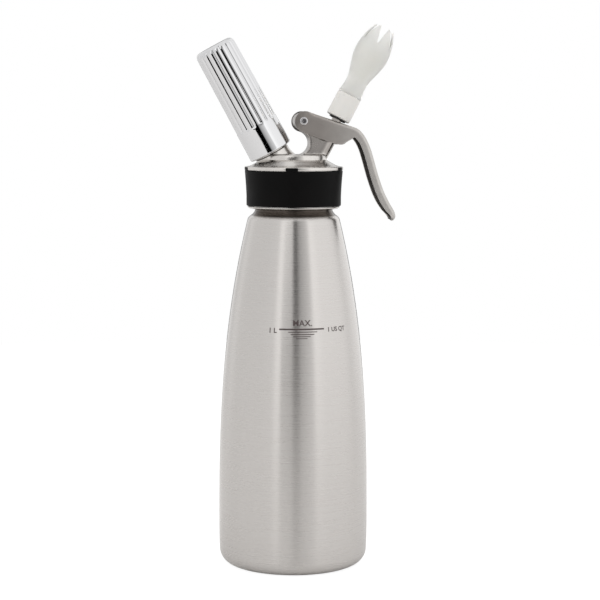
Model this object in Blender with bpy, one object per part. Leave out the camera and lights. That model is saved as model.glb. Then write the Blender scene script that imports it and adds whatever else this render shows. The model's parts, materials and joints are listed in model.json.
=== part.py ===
"""One-litre whipped cream dispenser: a steel bottle, a screw-on cast head with a gas charger holder
on the left, and a lever-worked dispensing valve with a plastic tulip nozzle on the right.

Metres, +Z up. The origin is the centre of the bottle's flat base. The charger leans to -X, the
lever and the nozzle to +X, and the printed mark on the bottle faces -Y."""

import math

import bmesh
import bpy
from mathutils import Matrix, Vector

# Shared values
FIT_GAP = 0.0003  # between pieces that touch
RUN_GAP = 0.0004  # between threads and other pieces that slide past each other
OVERRUN = 0.002  # how far a cutter runs past what it cuts
EMBED = 0.0005  # how far a joined feature sinks into its carrier
MERGE = 1e-7  # points closer than this are one point
SHARP_EDGE = math.radians(35.0)
SIDES_LARGE = 36
SIDES_MEDIUM = 20
HALF_SIDE = math.pi / SIDES_MEDIUM  # turns a cutter's corners off those of what it cuts
SIDES_SMALL = 12
SIDES_RING = 6
WIRE_STEPS = 8
NECK_THREAD_SIDES = 20
POST_THREAD_SIDES = 16
STEM_THREAD_SIDES = 12

# Bottle
BODY_R = 0.0480
BELLY_Z = 0.0260  # the side starts to draw in above this height
SHOULDER_Z = 0.2224  # the neck, the head and all that it carries follow this height
SHOULDER_R = 0.0296
TAPER_POWER = 2.6
TAPER_STEPS = 8
INNER_TAPER_STEPS = 6
SHOULDER_ROUND = 0.0045
SHOULDER_ROUND_STOP = 58.0  # degrees above level, where the shoulder meets the neck's foot
FOOT_ROUND = 0.0090
FOOT_LAND = 0.0030
BASE_GROOVE_IN_R = 0.0250
BASE_GROOVE_DEPTH = 0.0008
BASE_DRAFT = 0.0004
BOTTLE_WALL = 0.0009
NECK_R = 0.0248
NECK_WALL = 0.0016
NECK_RISE = 0.0054  # from the shoulder's edge to the straight neck
NECK_LEN = 0.0218
MOUTH_EDGE = 0.0004
NECK_THREAD_START = 0.0040  # above the start of the neck
NECK_THREAD_TURNS = 2.75

# Thread between bottle and head
NECK_PITCH = 0.0040
NECK_RIDGE_H = 0.0012
NECK_RIDGE_W = 0.0014
RIDGE_CREST_SHARE = 0.45
RIDGE_RUN_IN = 1 / 6  # the share of a turn in which a ridge reaches its full height

# Head casting
SKIRT_GAP_Z = 0.0020  # open height between the bottle's shoulder and the skirt
SKIRT_R = 0.0282
SKIRT_FOOT_R = 0.0294
SKIRT_FOOT_H = 0.0014
RIM_R = 0.0315
RIM_H = 0.0023
SKIRT_LEN = 0.0244
RIM_EDGE = 0.0005
DOME_FOOT_R = 0.0303
DOME_SAG = 0.0040
DOME_STEPS = 4
PLATEAU_R = 0.0200
PLATEAU_RISE = 0.0098  # from the rim's lower face to the flat top
PLATEAU_STEP = 0.0034
PLATEAU_EDGE = 0.0007
HEAD_ROOF = 0.0045
HEAD_CAVITY_R = 0.0218
HEAD_CAVITY_SLOPE = 0.0048
HEAD_CAVITY_LIP = 0.0012
KEY_COUNT = 5
KEY_WIDTH = 0.0074
KEY_HEIGHT = 0.0016
KEY_DEPTH = 0.0017
KEY_ANGLE = math.radians(-101.0)
KEY_GAP = 0.0002
HEAD_THREAD_TURNS = 2.5

# Grip band
BAND_R = 0.03025
BAND_TOP_R = 0.0313
BAND_FLARE_SHARE = 0.45
BAND_EDGE = 0.0008

# Head gasket
GASKET_R = 0.0252
GASKET_IN_R = 0.0229
GASKET_H = 0.0016

# Charger side, in a frame whose Z runs up the tilted holder from its open end
CHARGER_TILT = math.radians(-29.0)
HOLDER_X = -0.0148
HOLDER_RISE = 0.0020  # above the head's flat top
HOLDER_LEN = 0.0758
HOLDER_FOOT_R = 0.0141
HOLDER_TOP_R = 0.0133
HOLDER_TOP_ROUND = 0.0036
HOLDER_FOOT_ROUND = 0.0009
FLUTE_COUNT = 18
FLUTE_START = 0.0195
FLUTE_STOP_BELOW_TOP = 0.0026
FLUTE_DEPTH = 0.0009
FLUTE_END = 0.0022
FLUTE_ANGLE = math.radians(-105.8)
FLUTE_SIDES = 2
POST_R = 0.0113
POST_FLARE_R = 0.0119
POST_FOOT_DEPTH = 0.0095
POST_SHOULDER_GAP = 0.0006
POST_THREAD_R = 0.0102
POST_TOP = 0.0130
POST_EDGE = 0.0006
CHARGER_PITCH = 0.0025
CHARGER_RIDGE_H = 0.0007
CHARGER_RIDGE_W = 0.0010
POST_THREAD_START = 0.0022
POST_THREAD_TURNS = 3.6
HOLDER_THREAD_TURNS = 3.2
CHARGER_R = 0.0090
CHARGER_LEN = 0.0655
CHARGER_NECK_R = 0.0043
CHARGER_NECK_LEN = 0.0075
CHARGER_SHOULDER_LEN = 0.0062
CHARGER_WALL = 0.0018
CHARGER_HOLE_R = 0.0014
NECK_POCKET_BOTTOM = 0.0060
CHARGER_SEAL_H = 0.0016
CHARGER_SEAL_HOLE_R = 0.0016
PIN_R = 0.0009
PIN_BORE_R = 0.0004
PIN_REACH = 0.0028  # into the charger's neck
PIN_TIP_LEN = 0.0010
PIN_PLUG_R = 0.0024
PIN_PLUG_LEN = 0.0052
PIN_SLOT_DEPTH = 0.0006
ORIFICE_R = 0.0013
ORIFICE_LEN = 0.0012
CHECK_CHAMBER_R = 0.0034
CHECK_BOSS_R = 0.0058
CHECK_BOSS_BOTTOM = 0.0122  # below the holder's open end
POPPET_R = 0.0027
POPPET_H = 0.0016
POPPET_STEM_R = 0.0012
POPPET_STEM_LEN = 0.0020
CAGE_H = 0.0024
CAGE_HOLE_R = 0.0012
CHECK_WIRE_R = 0.00022
CHECK_COIL_R = 0.0020
CHECK_COIL_TURNS = 4

# Lever hinge and dispensing axis
HINGE_X = 0.0051
HINGE_RISE = 0.0213  # above the head's flat top
LEVER_ARM = 0.0196  # from the hinge to the dispensing axis
DISPENSE_TILT = math.radians(28.0)
HINGE_BOSS_R = 0.0046
HINGE_BOSS_HALF = 0.0061
HORN_HALF = 0.0058
HORN_EDGE = 0.0012
HORN_EDGE_ANGLE = math.radians(60.0)
HORN_HOLE_R = 0.0074
HORN_HOLE_X = 0.0022
HORN_NOSE_R = 0.0054
SPOUT_R = 0.0060
SPOUT_FOOT_R = 0.0061
SPOUT_TOP = 0.0001  # above the hinge, measured along the dispensing axis
SPOUT_POCKET_R = 0.0050
SPOUT_POCKET_DEPTH = 0.0040
SPOUT_FOOT_DEPTH = 0.0150
SEAT_DEPTH = 0.0208  # from the hinge down to the valve seat, along the dispensing axis
SEAT_BOSS_R = 0.0078
SEAT_POCKET_R = 0.0072
HINGE_PIN_R = 0.0019
HINGE_PIN_HEAD_R = 0.00265
HINGE_PIN_HEAD_H = 0.0007
HINGE_PIN_DIMPLE_R = 0.0011
HINGE_PIN_DIMPLE_DEPTH = 0.0020

# Lever, in a frame at its hinge
LEVER_HALF = 0.0080
LEVER_SHEET = 0.0016
LEVER_EAR_R = 0.0066
LEVER_EAR_SHIFT = 0.0010  # from the hinge to the middle of the ears' round, along the web
LEVER_BEND_R = 0.0014
WEB_TILT = math.radians(18.2)
WEB_LEN = 0.0316
WEB_START = 0.0018  # the web begins this far past the top of the ears
HANDLE_REACH = 0.0282
HANDLE_DROP = 0.0606
HANDLE_FLANGE = 0.0052
HANDLE_TIP_LEN = 0.0062
HANDLE_TIP_STEPS = 10
CHEEK_DEPTH = 0.0133
CHEEK_FRONT = 0.0090
STEM_SLOT_BACK = 0.0016
PUSH_BOSS_R = 0.0012
PUSH_BOSS_LEN = 0.0014
PUSH_BOSS_DROP = 0.0004
HANDLE_OUTER_SHARES = (
    (0.00, 0.000), (0.12, 0.022), (0.22, 0.065), (0.32, 0.135), (0.40, 0.215), (0.46, 0.300),
    (0.52, 0.395), (0.585, 0.500), (0.65, 0.590), (0.71, 0.665), (0.785, 0.740), (0.865, 0.810),
    (0.95, 0.875), (0.995, 0.925), (1.00, 0.960), (0.98, 0.988), (0.935, 1.000),
)

# Dispensing valve, measured along the dispensing axis from the adapter's lower face
ADAPTER_WEB_GAP = 0.0012
STEM_R = 0.0036
STEM_BORE_R = 0.0039
STEM_TOP_R = 0.0032
STEM_THREAD_R = 0.0027
STEM_TOP = 0.0095
STEM_THREAD_START = 0.0010
CHANNEL_R = 0.0018
CROSS_HOLE_R = 0.0010
RELIEF_R = 0.0028
RELIEF_LEN = 0.0052
VALVE_HEAD_R = 0.0062
VALVE_HEAD_H = 0.0022
SEAT_SEAL_R = 0.0060
SEAT_SEAL_H = 0.0012
O_RING_WIRE_R = 0.0006
O_RING_SPACING = 0.0042
O_RING_GROOVE_GAP = 0.00015
O_RING_BELOW_POCKET = 0.0022
CAP_R = 0.0060
CAP_H = 0.0018
CAP_BELOW_BOSS = 0.00035
CLIP_R = 0.0044
CLIP_H = 0.0006
CLIP_GROOVE_R = 0.0026
CLIP_OPEN_ANGLE = math.radians(60.0)
SPRING_WIRE_R = 0.00035
SPRING_COIL_R = 0.0044
SPRING_TURNS = 4.5
TIP_PITCH = 0.0020
TIP_RIDGE_H = 0.0004
TIP_RIDGE_W = 0.0007
STEM_THREAD_TURNS = 3.4
ADAPTER_THREAD_TURNS = 3.2

# Washer, adapter and nozzle
WASHER_R = 0.0060
WASHER_H = 0.0010
WASHER_HOLE_R = 0.0037
ADAPTER_R = 0.0080
ADAPTER_LEN = 0.0160
ADAPTER_EDGE = 0.0008
ADAPTER_CHANNEL_R = 0.0024
ADAPTER_THREAD_END_GAP = 0.0008
SPIGOT_R = 0.0040
SPIGOT_LEN = 0.0068
NOZZLE_LEN = 0.0482
NOZZLE_BULGE_R = 0.0112
NOZZLE_WALL = 0.0014
NOZZLE_CHANNEL_R = 0.0028
PETAL_COUNT = 6
NOTCH_DEPTH = 0.0115
NOTCH_HALF_WIDTH = 0.0028
NOTCH_ANGLE = math.radians(-99.0)
NOZZLE_OUTER_SHARES = (
    (0.000, 0.690), (0.020, 0.705), (0.060, 0.665), (0.120, 0.630), (0.180, 0.618), (0.250, 0.640),
    (0.330, 0.730), (0.420, 0.850), (0.520, 0.955), (0.610, 1.000), (0.700, 0.985), (0.790, 0.915),
    (0.870, 0.820), (0.940, 0.700), (0.985, 0.610), (1.000, 0.560),
)
NOZZLE_CAVITY_START_SHARE = 0.500
NOZZLE_CAVITY_SHARES = (0.540, 0.610, 0.700, 0.790, 0.870, 0.940, 1.000)

# Places worked out from the sizes above
NECK_START_Z = SHOULDER_Z + NECK_RISE
MOUTH_Z = NECK_START_Z + NECK_LEN
SKIRT_Z = NECK_START_Z + SKIRT_GAP_Z
RIM_Z = SKIRT_Z + SKIRT_LEN
PLATEAU_Z = RIM_Z + PLATEAU_RISE
HOLDER_Z = PLATEAU_Z + HOLDER_RISE
HINGE_Z = PLATEAU_Z + HINGE_RISE
HORN_HOLE_Z = PLATEAU_Z + HORN_HOLE_R
SKIRT_BORE_R = NECK_R + NECK_RIDGE_H + RUN_GAP
CAVITY_TOP_Z = PLATEAU_Z - HEAD_ROOF
GASKET_Z = MOUTH_Z + FIT_GAP
GASKET_SEAT_Z = GASKET_Z + GASKET_H + FIT_GAP
TIP_FACING = DISPENSE_TILT - WEB_TILT
EAR_TO_AXIS = LEVER_EAR_R / math.cos(TIP_FACING) + LEVER_ARM * math.tan(TIP_FACING)
ADAPTER_RISE = EAR_TO_AXIS + ADAPTER_R * math.tan(TIP_FACING) + ADAPTER_WEB_GAP
WEB_UNDER = EAR_TO_AXIS - ADAPTER_RISE - LEVER_SHEET / math.cos(TIP_FACING)
CAP_TOP = WEB_UNDER - PUSH_BOSS_DROP - PUSH_BOSS_R - CAP_BELOW_BOSS
CAP_BOTTOM = CAP_TOP - CAP_H
CLIP_BOTTOM = CAP_TOP + FIT_GAP / 2
SPOUT_TOP_T = SPOUT_TOP - ADAPTER_RISE
POCKET_T = SPOUT_TOP_T - SPOUT_POCKET_DEPTH
SEAT_T = -SEAT_DEPTH - ADAPTER_RISE
NOZZLE_T = ADAPTER_LEN + FIT_GAP
NECK_TIP = NECK_POCKET_BOTTOM + 2 * FIT_GAP + CHARGER_SEAL_H

COLOURS = {
    "brushed_steel": ((0.60, 0.58, 0.56, 1), 0.32, 1.0),
    "cast_steel": ((0.55, 0.53, 0.50, 1), 0.36, 1.0),
    "polished_chrome": ((0.75, 0.75, 0.76, 1), 0.08, 1.0),
    "pressed_steel": ((0.46, 0.43, 0.41, 1), 0.40, 1.0),
    "charger_steel": ((0.62, 0.62, 0.64, 1), 0.25, 1.0),
    "spring_steel": ((0.50, 0.50, 0.52, 1), 0.30, 1.0),
    "black_silicone": ((0.012, 0.012, 0.012, 1), 0.55, 0.0),
    "seal_rubber": ((0.03, 0.03, 0.03, 1), 0.60, 0.0),
    "adapter_plastic": ((0.80, 0.79, 0.76, 1), 0.35, 0.0),
    "nozzle_plastic": ((0.90, 0.90, 0.88, 1), 0.25, 0.0),
}


def clear_scene():
    for old in list(bpy.data.objects):
        bpy.data.objects.remove(old, do_unlink=True)


def material(name):
    """The named material, made on first use."""
    if name in bpy.data.materials:
        return bpy.data.materials[name]
    made = bpy.data.materials.new(name)
    made.use_nodes = True
    colour, roughness, metallic = COLOURS[name]
    shader = made.node_tree.nodes["Principled BSDF"]
    shader.inputs["Base Color"].default_value = colour
    shader.inputs["Roughness"].default_value = roughness
    shader.inputs["Metallic"].default_value = metallic
    return made


def axis_empty(name, place, tilt, parent=None):
    """An empty on a joint's axis, tilted about Y, that carries the pieces of that axis."""
    empty = bpy.data.objects.new(name, None)
    empty.location = place
    empty.rotation_euler = (0, tilt, 0)
    empty.parent = parent
    bpy.context.collection.objects.link(empty)
    return empty


def add_object(name, bm, parent, finish=None, smooth=True):
    """Closes the shape's mesh and puts it in the scene as one object."""
    bmesh.ops.remove_doubles(bm, verts=bm.verts, dist=MERGE)
    bmesh.ops.recalc_face_normals(bm, faces=bm.faces)
    mesh = bpy.data.meshes.new(name)
    bm.to_mesh(mesh)
    bm.free()
    if smooth:
        mesh.shade_smooth()
        mesh.set_sharp_from_angle(angle=SHARP_EDGE)
    made = bpy.data.objects.new(name, mesh)
    made.parent = parent
    bpy.context.collection.objects.link(made)
    if finish:
        mesh.materials.append(material(finish))
    return made


def helper(made):
    """Marks a cutter or an added feature, which isn't a piece by itself."""
    made.hide_render = True
    made.display_type = "WIRE"
    return made


def combine(target, other, operation):
    step = target.modifiers.new(other.name, "BOOLEAN")
    step.object = helper(other)
    step.operation = operation
    step.solver = "EXACT"


def join(target, *others):
    for other in others:
        combine(target, other, "UNION")


def cut(target, *others):
    for other in others:
        combine(target, other, "DIFFERENCE")


def turned(name, outline, parent, finish=None, sides=SIDES_MEDIUM, closed=False, start=0.0):
    """Spins an outline of (radius, height) points once round the frame's Z axis, from the angle
    start. An outline that isn't closed begins and ends on the axis."""
    bm = bmesh.new()
    verts = [bm.verts.new((radius * math.cos(start), radius * math.sin(start), height))
             for radius, height in outline]
    edges = [bm.edges.new(pair) for pair in zip(verts, verts[1:])]
    if closed:
        edges.append(bm.edges.new((verts[-1], verts[0])))
    bmesh.ops.spin(bm, geom=verts + edges, cent=(0, 0, 0), axis=(0, 0, 1),
                   angle=math.tau, steps=sides, use_merge=True)
    return add_object(name, bm, parent, finish)


def rod(name, radius, low, high, parent, finish=None, sides=SIDES_MEDIUM, start=0.0):
    outline = [(0, high), (radius, high), (radius, low), (0, low)]
    return turned(name, outline, parent, finish, sides, start=start)


def ring(name, inner, outer, low, high, parent, finish=None, sides=SIDES_MEDIUM):
    outline = [(inner, high), (outer, high), (outer, low), (inner, low)]
    return turned(name, outline, parent, finish, sides, closed=True)


def o_ring(name, radius, wire, height, parent):
    """A round-section ring whose outer radius is given."""
    middle = radius - wire
    outline = []
    for step in range(SIDES_RING):
        turn = math.tau * step / SIDES_RING
        outline.append((middle + wire * math.cos(turn), height - wire * math.sin(turn)))
    return turned(name, outline, parent, "seal_rubber", SIDES_SMALL, closed=True)


def plate(name, outline, half, parent, finish=None, bends=0, bend_radius=0.0):
    """Extrudes an outline of (x, z) points to half a width on each side of the XZ plane. The side
    edges between the outline's first points can be rounded, as sheet is where it bends."""
    bm = bmesh.new()
    near = [bm.verts.new((x, -half, z)) for x, z in outline]
    far = [bm.verts.new((x, half, z)) for x, z in outline]
    bm.faces.new(near)
    bm.faces.new(reversed(far))
    for number in range(len(outline)):
        after = (number + 1) % len(outline)
        bm.faces.new((near[after], near[number], far[number], far[after]))
    rounded = [bm.edges.get((row[number], row[number + 1]))
               for row in (near, far) for number in range(bends)]
    if rounded:
        bmesh.ops.bevel(bm, geom=rounded, offset=bend_radius, segments=2, profile=0.5,
                        affect="EDGES")
    return add_object(name, bm, parent, finish, smooth=False)


def block(name, size, place, parent, spin=0.0):
    bm = bmesh.new()
    bmesh.ops.create_cube(bm, size=1.0)
    bmesh.ops.scale(bm, vec=size, verts=bm.verts)
    made = add_object(name, bm, parent, smooth=False)
    made.location = place
    made.rotation_euler = (0, 0, spin)
    return made


def arc(centre, radius, start, stop, steps):
    """Points on an arc, both ends included; angles in degrees, counted from +x towards +z."""
    points = []
    for step in range(steps + 1):
        turn = math.radians(start + (stop - start) * step / steps)
        points.append((centre[0] + radius * math.cos(turn), centre[1] + radius * math.sin(turn)))
    return points


def ridge(name, root, crest, width, start, turns, pitch, parent, sides):
    """A helical thread ridge. Root and crest are radii, and start is the height of its middle."""
    bm = bmesh.new()
    count = round(turns * sides)
    sections = []
    for step in range(count + 1):
        turn = math.tau * step / sides
        height = start + pitch * step / sides
        fade = min(1.0, (step + 1) / (RIDGE_RUN_IN * sides),
                   (count + 1 - step) / (RIDGE_RUN_IN * sides))
        tip = root + (crest - root) * fade
        half = width / 2
        tip_half = half * (1 - (1 - RIDGE_CREST_SHARE) * fade)
        corners = [(root, -half), (tip, -tip_half), (tip, tip_half), (root, half)]
        sections.append([
            bm.verts.new((radius * math.cos(turn), radius * math.sin(turn), height + offset))
            for radius, offset in corners
        ])
    for low, high in zip(sections, sections[1:]):
        for side in range(len(low)):
            after = (side + 1) % len(low)
            bm.faces.new((low[side], low[after], high[after], high[side]))
    bm.faces.new(sections[0])
    bm.faces.new(reversed(sections[-1]))
    return add_object(name, bm, parent)


def coil(name, radius, wire, low, high, turns, parent):
    """A round-wire spring, and a line that prints the least gap between its curls."""
    curve = bpy.data.curves.new(name, "CURVE")
    curve.dimensions = "3D"
    curve.bevel_depth = wire
    curve.bevel_resolution = 1
    curve.use_fill_caps = True
    spline = curve.splines.new("POLY")
    count = round(turns * WIRE_STEPS)
    spline.points.add(count)
    places = []
    for step in range(count + 1):
        turn = math.tau * step / WIRE_STEPS
        height = low + wire + (high - low - 2 * wire) * step / count
        places.append(Vector((radius * math.cos(turn), radius * math.sin(turn), height)))
        spline.points[step].co = (*places[-1], 1)
    curve.materials.append(material("spring_steel"))
    made = bpy.data.objects.new(name, curve)
    made.parent = parent
    bpy.context.collection.objects.link(made)
    gap = min((a - b).length for i, a in enumerate(places) for b in places[i + WIRE_STEPS // 2:])
    print(f"{name}: least gap between curls {(gap - 2 * wire) * 1000:.2f} mm")
    return made


def side_radius(height):
    """The bottle's outer radius between the belly and the shoulder."""
    share = max(0.0, (height - BELLY_Z) / (SHOULDER_Z - BELLY_Z))
    return BODY_R - (BODY_R - SHOULDER_R) * share ** TAPER_POWER


def bottle_side(inset, steps):
    """The side from the foot's top to the shoulder, moved inwards by inset."""
    foot = (BODY_R - BASE_DRAFT - FOOT_ROUND, FOOT_ROUND)
    points = arc(foot, FOOT_ROUND - inset, -90, 0, steps // 2)
    for step in range(steps):
        share = step / steps
        height = BELLY_Z + (SHOULDER_Z - BELLY_Z) * share
        points.append((side_radius(height) - inset, height))
    slope = TAPER_POWER * (BODY_R - SHOULDER_R) / (SHOULDER_Z - BELLY_Z)
    tangent = math.degrees(math.atan(slope))
    turn = math.radians(tangent)
    centre = (SHOULDER_R - SHOULDER_ROUND * math.cos(turn),
              SHOULDER_Z - SHOULDER_ROUND * math.sin(turn))
    points += arc(centre, SHOULDER_ROUND - inset, tangent, SHOULDER_ROUND_STOP, 3)
    return points


def make_bottle(parent):
    foot_in = BODY_R - BASE_DRAFT - FOOT_ROUND - FOOT_LAND
    groove_in = BASE_GROOVE_IN_R + BASE_GROOVE_DEPTH
    groove_out = foot_in - BASE_GROOVE_DEPTH
    outline = [(0, 0), (BASE_GROOVE_IN_R, 0), (groove_in, BASE_GROOVE_DEPTH),
               (groove_out, BASE_GROOVE_DEPTH), (foot_in, 0)]
    outline += bottle_side(0, TAPER_STEPS)
    outline += [(NECK_R, NECK_START_Z), (NECK_R, MOUTH_Z - MOUTH_EDGE),
                (NECK_R - MOUTH_EDGE, MOUTH_Z)]
    neck_in = NECK_R - NECK_WALL
    outline += [(neck_in + MOUTH_EDGE, MOUTH_Z), (neck_in, MOUTH_Z - MOUTH_EDGE),
                (neck_in, NECK_START_Z - BOTTLE_WALL)]
    outline += reversed(bottle_side(BOTTLE_WALL, INNER_TAPER_STEPS)[1:])
    floor = BASE_GROOVE_DEPTH + BOTTLE_WALL
    outline += [(BODY_R - BASE_DRAFT - FOOT_ROUND, floor), (0, floor)]
    bottle = turned("bottle", outline, parent, "brushed_steel", SIDES_LARGE)
    join(bottle, ridge("bottle_thread", NECK_R - EMBED, NECK_R + NECK_RIDGE_H, NECK_RIDGE_W,
                       NECK_START_Z + NECK_THREAD_START, NECK_THREAD_TURNS, NECK_PITCH, parent,
                       NECK_THREAD_SIDES))
    return bottle


def key_blocks(name, grow, parent):
    """The places of the grip band's keys, as blocks that reach in from the rim."""
    parts = []
    for number in range(KEY_COUNT):
        turn = KEY_ANGLE + math.tau * number / KEY_COUNT
        reach = RIM_R - KEY_DEPTH / 2 + OVERRUN / 2
        place = (reach * math.cos(turn), reach * math.sin(turn),
                 RIM_Z + KEY_HEIGHT / 2 - OVERRUN / 2 + grow / 2)
        size = (KEY_DEPTH + OVERRUN + 2 * grow, KEY_WIDTH + 2 * grow, KEY_HEIGHT + OVERRUN + grow)
        parts.append(block(f"{name}_{number}", size, place, parent, turn))
    return parts


def head_outline():
    """The casting's turned body: skirt, rim, concave dome and flat top, hollow underneath."""
    outline = [(0, PLATEAU_Z), (PLATEAU_R - PLATEAU_EDGE, PLATEAU_Z),
               (PLATEAU_R, PLATEAU_Z - PLATEAU_EDGE)]
    low = (DOME_FOOT_R, RIM_Z + RIM_H)
    high = (PLATEAU_R + PLATEAU_EDGE, PLATEAU_Z - PLATEAU_STEP)
    for step in range(DOME_STEPS + 1):
        share = step / DOME_STEPS
        sag = DOME_SAG * share * (1 - share)
        outline.append((high[0] + (low[0] - high[0]) * share,
                        high[1] + (low[1] - high[1]) * share - sag * share))
    outline += [(RIM_R - RIM_EDGE, RIM_Z + RIM_H - RIM_EDGE / 2), (RIM_R, RIM_Z + RIM_H - 2 * RIM_EDGE),
                (RIM_R, RIM_Z + RIM_EDGE), (RIM_R - RIM_EDGE, RIM_Z), (SKIRT_R, RIM_Z),
                (SKIRT_R, SKIRT_Z + SKIRT_FOOT_H), (SKIRT_FOOT_R, SKIRT_Z + SKIRT_FOOT_H),
                (SKIRT_FOOT_R, SKIRT_Z + SKIRT_FOOT_H / 2), (SKIRT_R, SKIRT_Z),
                (SKIRT_BORE_R, SKIRT_Z), (SKIRT_BORE_R, GASKET_SEAT_Z),
                (HEAD_CAVITY_R, GASKET_SEAT_Z), (HEAD_CAVITY_R, GASKET_SEAT_Z + HEAD_CAVITY_LIP),
                (HEAD_CAVITY_R - HEAD_CAVITY_SLOPE, CAVITY_TOP_Z), (0, CAVITY_TOP_Z)]
    return outline


def horn_outline():
    """The arm that carries the lever: hinge boss, C-shaped opening and the root of the spout."""
    hinge = (HINGE_X, HINGE_Z)
    spout_left = spout_point(-SPOUT_R - FIT_GAP, SPOUT_TOP)
    outline = arc(hinge, HINGE_BOSS_R - EMBED, 60, 80, 2)
    outline += arc(hinge, HORN_NOSE_R, 105, 240, 7)
    outline += arc((HORN_HOLE_X, HORN_HOLE_Z), HORN_HOLE_R, 62, -90, 14)
    outline.append((HORN_HOLE_X, PLATEAU_Z - HEAD_ROOF / 2))
    outline.append(spout_point(0, -SPOUT_FOOT_DEPTH))
    outline.append(spout_point(0, SPOUT_TOP - SPOUT_POCKET_DEPTH - EMBED))
    outline.append(spout_point(-SPOUT_R + EMBED, SPOUT_TOP - SPOUT_POCKET_DEPTH - EMBED))
    outline.append(spout_point(-SPOUT_R + EMBED, SPOUT_TOP - EMBED))
    outline.append(spout_left)
    outline.append(spout_point(-LEVER_ARM / 2 - SPOUT_R / 2, HINGE_BOSS_R - EMBED))
    return outline


def spout_point(across, along):
    """World (x, z) of a point given across and along the dispensing axis, level with the hinge."""
    x = HINGE_X + (LEVER_ARM + across) * math.cos(DISPENSE_TILT) + along * math.sin(DISPENSE_TILT)
    z = HINGE_Z - (LEVER_ARM + across) * math.sin(DISPENSE_TILT) + along * math.cos(DISPENSE_TILT)
    return (x, z)


def make_head(frame, charger, spout):
    head = turned("head_casting", head_outline(), frame, "cast_steel", SIDES_LARGE)
    post = [(0, POST_TOP), (POST_THREAD_R - POST_EDGE, POST_TOP),
            (POST_THREAD_R, POST_TOP - POST_EDGE), (POST_THREAD_R, -POST_SHOULDER_GAP),
            (POST_R, -POST_SHOULDER_GAP), (POST_R, -POST_FOOT_DEPTH / 3),
            (POST_FLARE_R, -POST_FOOT_DEPTH), (CHECK_BOSS_R, -POST_FOOT_DEPTH),
            (CHECK_BOSS_R, -CHECK_BOSS_BOTTOM), (0, -CHECK_BOSS_BOTTOM)]
    spout_body = [(0, SPOUT_TOP_T), (SPOUT_R, SPOUT_TOP_T),
                  (SPOUT_R, SPOUT_TOP_T - SPOUT_POCKET_DEPTH),
                  (SPOUT_FOOT_R, SPOUT_TOP_T - SPOUT_FOOT_DEPTH),
                  (SEAT_BOSS_R, SPOUT_TOP_T - SPOUT_FOOT_DEPTH - POST_EDGE), (SEAT_BOSS_R, SEAT_T),
                  (0, SEAT_T)]
    horn = plate("horn_arm", horn_outline(), HORN_HALF, frame)
    soften = horn.modifiers.new("edges", "BEVEL")
    soften.width = HORN_EDGE
    soften.segments = 2
    soften.limit_method = "ANGLE"
    soften.angle_limit = HORN_EDGE_ANGLE
    boss = rod("hinge_boss", HINGE_BOSS_R, -HINGE_BOSS_HALF, HINGE_BOSS_HALF, frame)
    boss.location = (HINGE_X, 0, HINGE_Z)
    boss.rotation_euler = (math.pi / 2, 0, 0)
    cut(head, *key_blocks("rim_notch", KEY_GAP, frame))
    join(head,
         ridge("head_thread", SKIRT_BORE_R + EMBED, NECK_R + RUN_GAP, NECK_RIDGE_W,
               NECK_START_Z + NECK_THREAD_START + NECK_PITCH / 2, HEAD_THREAD_TURNS, NECK_PITCH,
               frame, NECK_THREAD_SIDES),
         turned("charger_post", post, charger),
         ridge("post_thread", POST_THREAD_R - EMBED, POST_THREAD_R + CHARGER_RIDGE_H,
               CHARGER_RIDGE_W, POST_THREAD_START, POST_THREAD_TURNS, CHARGER_PITCH, charger,
               POST_THREAD_SIDES),
         turned("spout_body", spout_body, spout), horn, boss)
    pin_hole = rod("hinge_pin_hole", HINGE_PIN_R + FIT_GAP, -LEVER_HALF, LEVER_HALF, frame,
                   start=HALF_SIDE)
    pin_hole.location = boss.location
    pin_hole.rotation_euler = boss.rotation_euler
    plug_bottom = NECK_POCKET_BOTTOM - PIN_PLUG_LEN - FIT_GAP
    chamber_top = plug_bottom - ORIFICE_LEN
    charger_bore = [(0, POST_TOP + OVERRUN), (CHARGER_NECK_R + RUN_GAP, POST_TOP + OVERRUN),
                    (CHARGER_NECK_R + RUN_GAP, NECK_POCKET_BOTTOM),
                    (PIN_PLUG_R + FIT_GAP, NECK_POCKET_BOTTOM), (PIN_PLUG_R + FIT_GAP, plug_bottom),
                    (ORIFICE_R, plug_bottom), (ORIFICE_R, chamber_top),
                    (CHECK_CHAMBER_R, chamber_top),
                    (CHECK_CHAMBER_R, -CHECK_BOSS_BOTTOM - OVERRUN),
                    (0, -CHECK_BOSS_BOTTOM - OVERRUN)]
    spout_bore = [(0, SPOUT_TOP_T + OVERRUN), (SPOUT_POCKET_R, SPOUT_TOP_T + OVERRUN),
                  (SPOUT_POCKET_R, POCKET_T), (STEM_BORE_R, POCKET_T), (STEM_BORE_R, SEAT_T),
                  (SEAT_POCKET_R, SEAT_T), (SEAT_POCKET_R, SEAT_T - SEAT_DEPTH / 2),
                  (0, SEAT_T - SEAT_DEPTH / 2)]
    cut(head, pin_hole, turned("charger_bore", charger_bore, charger, start=HALF_SIDE),
        turned("spout_bore", spout_bore, spout, start=HALF_SIDE))
    return head


def make_band(parent):
    low = SKIRT_Z + SKIRT_FOOT_H + FIT_GAP
    high = RIM_Z - FIT_GAP
    inner = SKIRT_R + FIT_GAP
    flare = low + (high - low) * BAND_FLARE_SHARE
    outline = [(inner, high), (BAND_TOP_R, high), (BAND_R, flare), (BAND_R, low + BAND_EDGE),
               (BAND_R - BAND_EDGE, low), (inner, low)]
    band = turned("grip_band", outline, parent, "black_silicone", SIDES_LARGE, closed=True)
    tabs = ring("key_ring", RIM_R - KEY_DEPTH, RIM_R - KEY_GAP, high - EMBED, RIM_Z + KEY_HEIGHT,
                parent, sides=SIDES_LARGE)
    first, *rest = key_blocks("key", 0, parent)
    join(first, *rest)
    combine(tabs, first, "INTERSECT")
    join(band, tabs)
    return band


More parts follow.
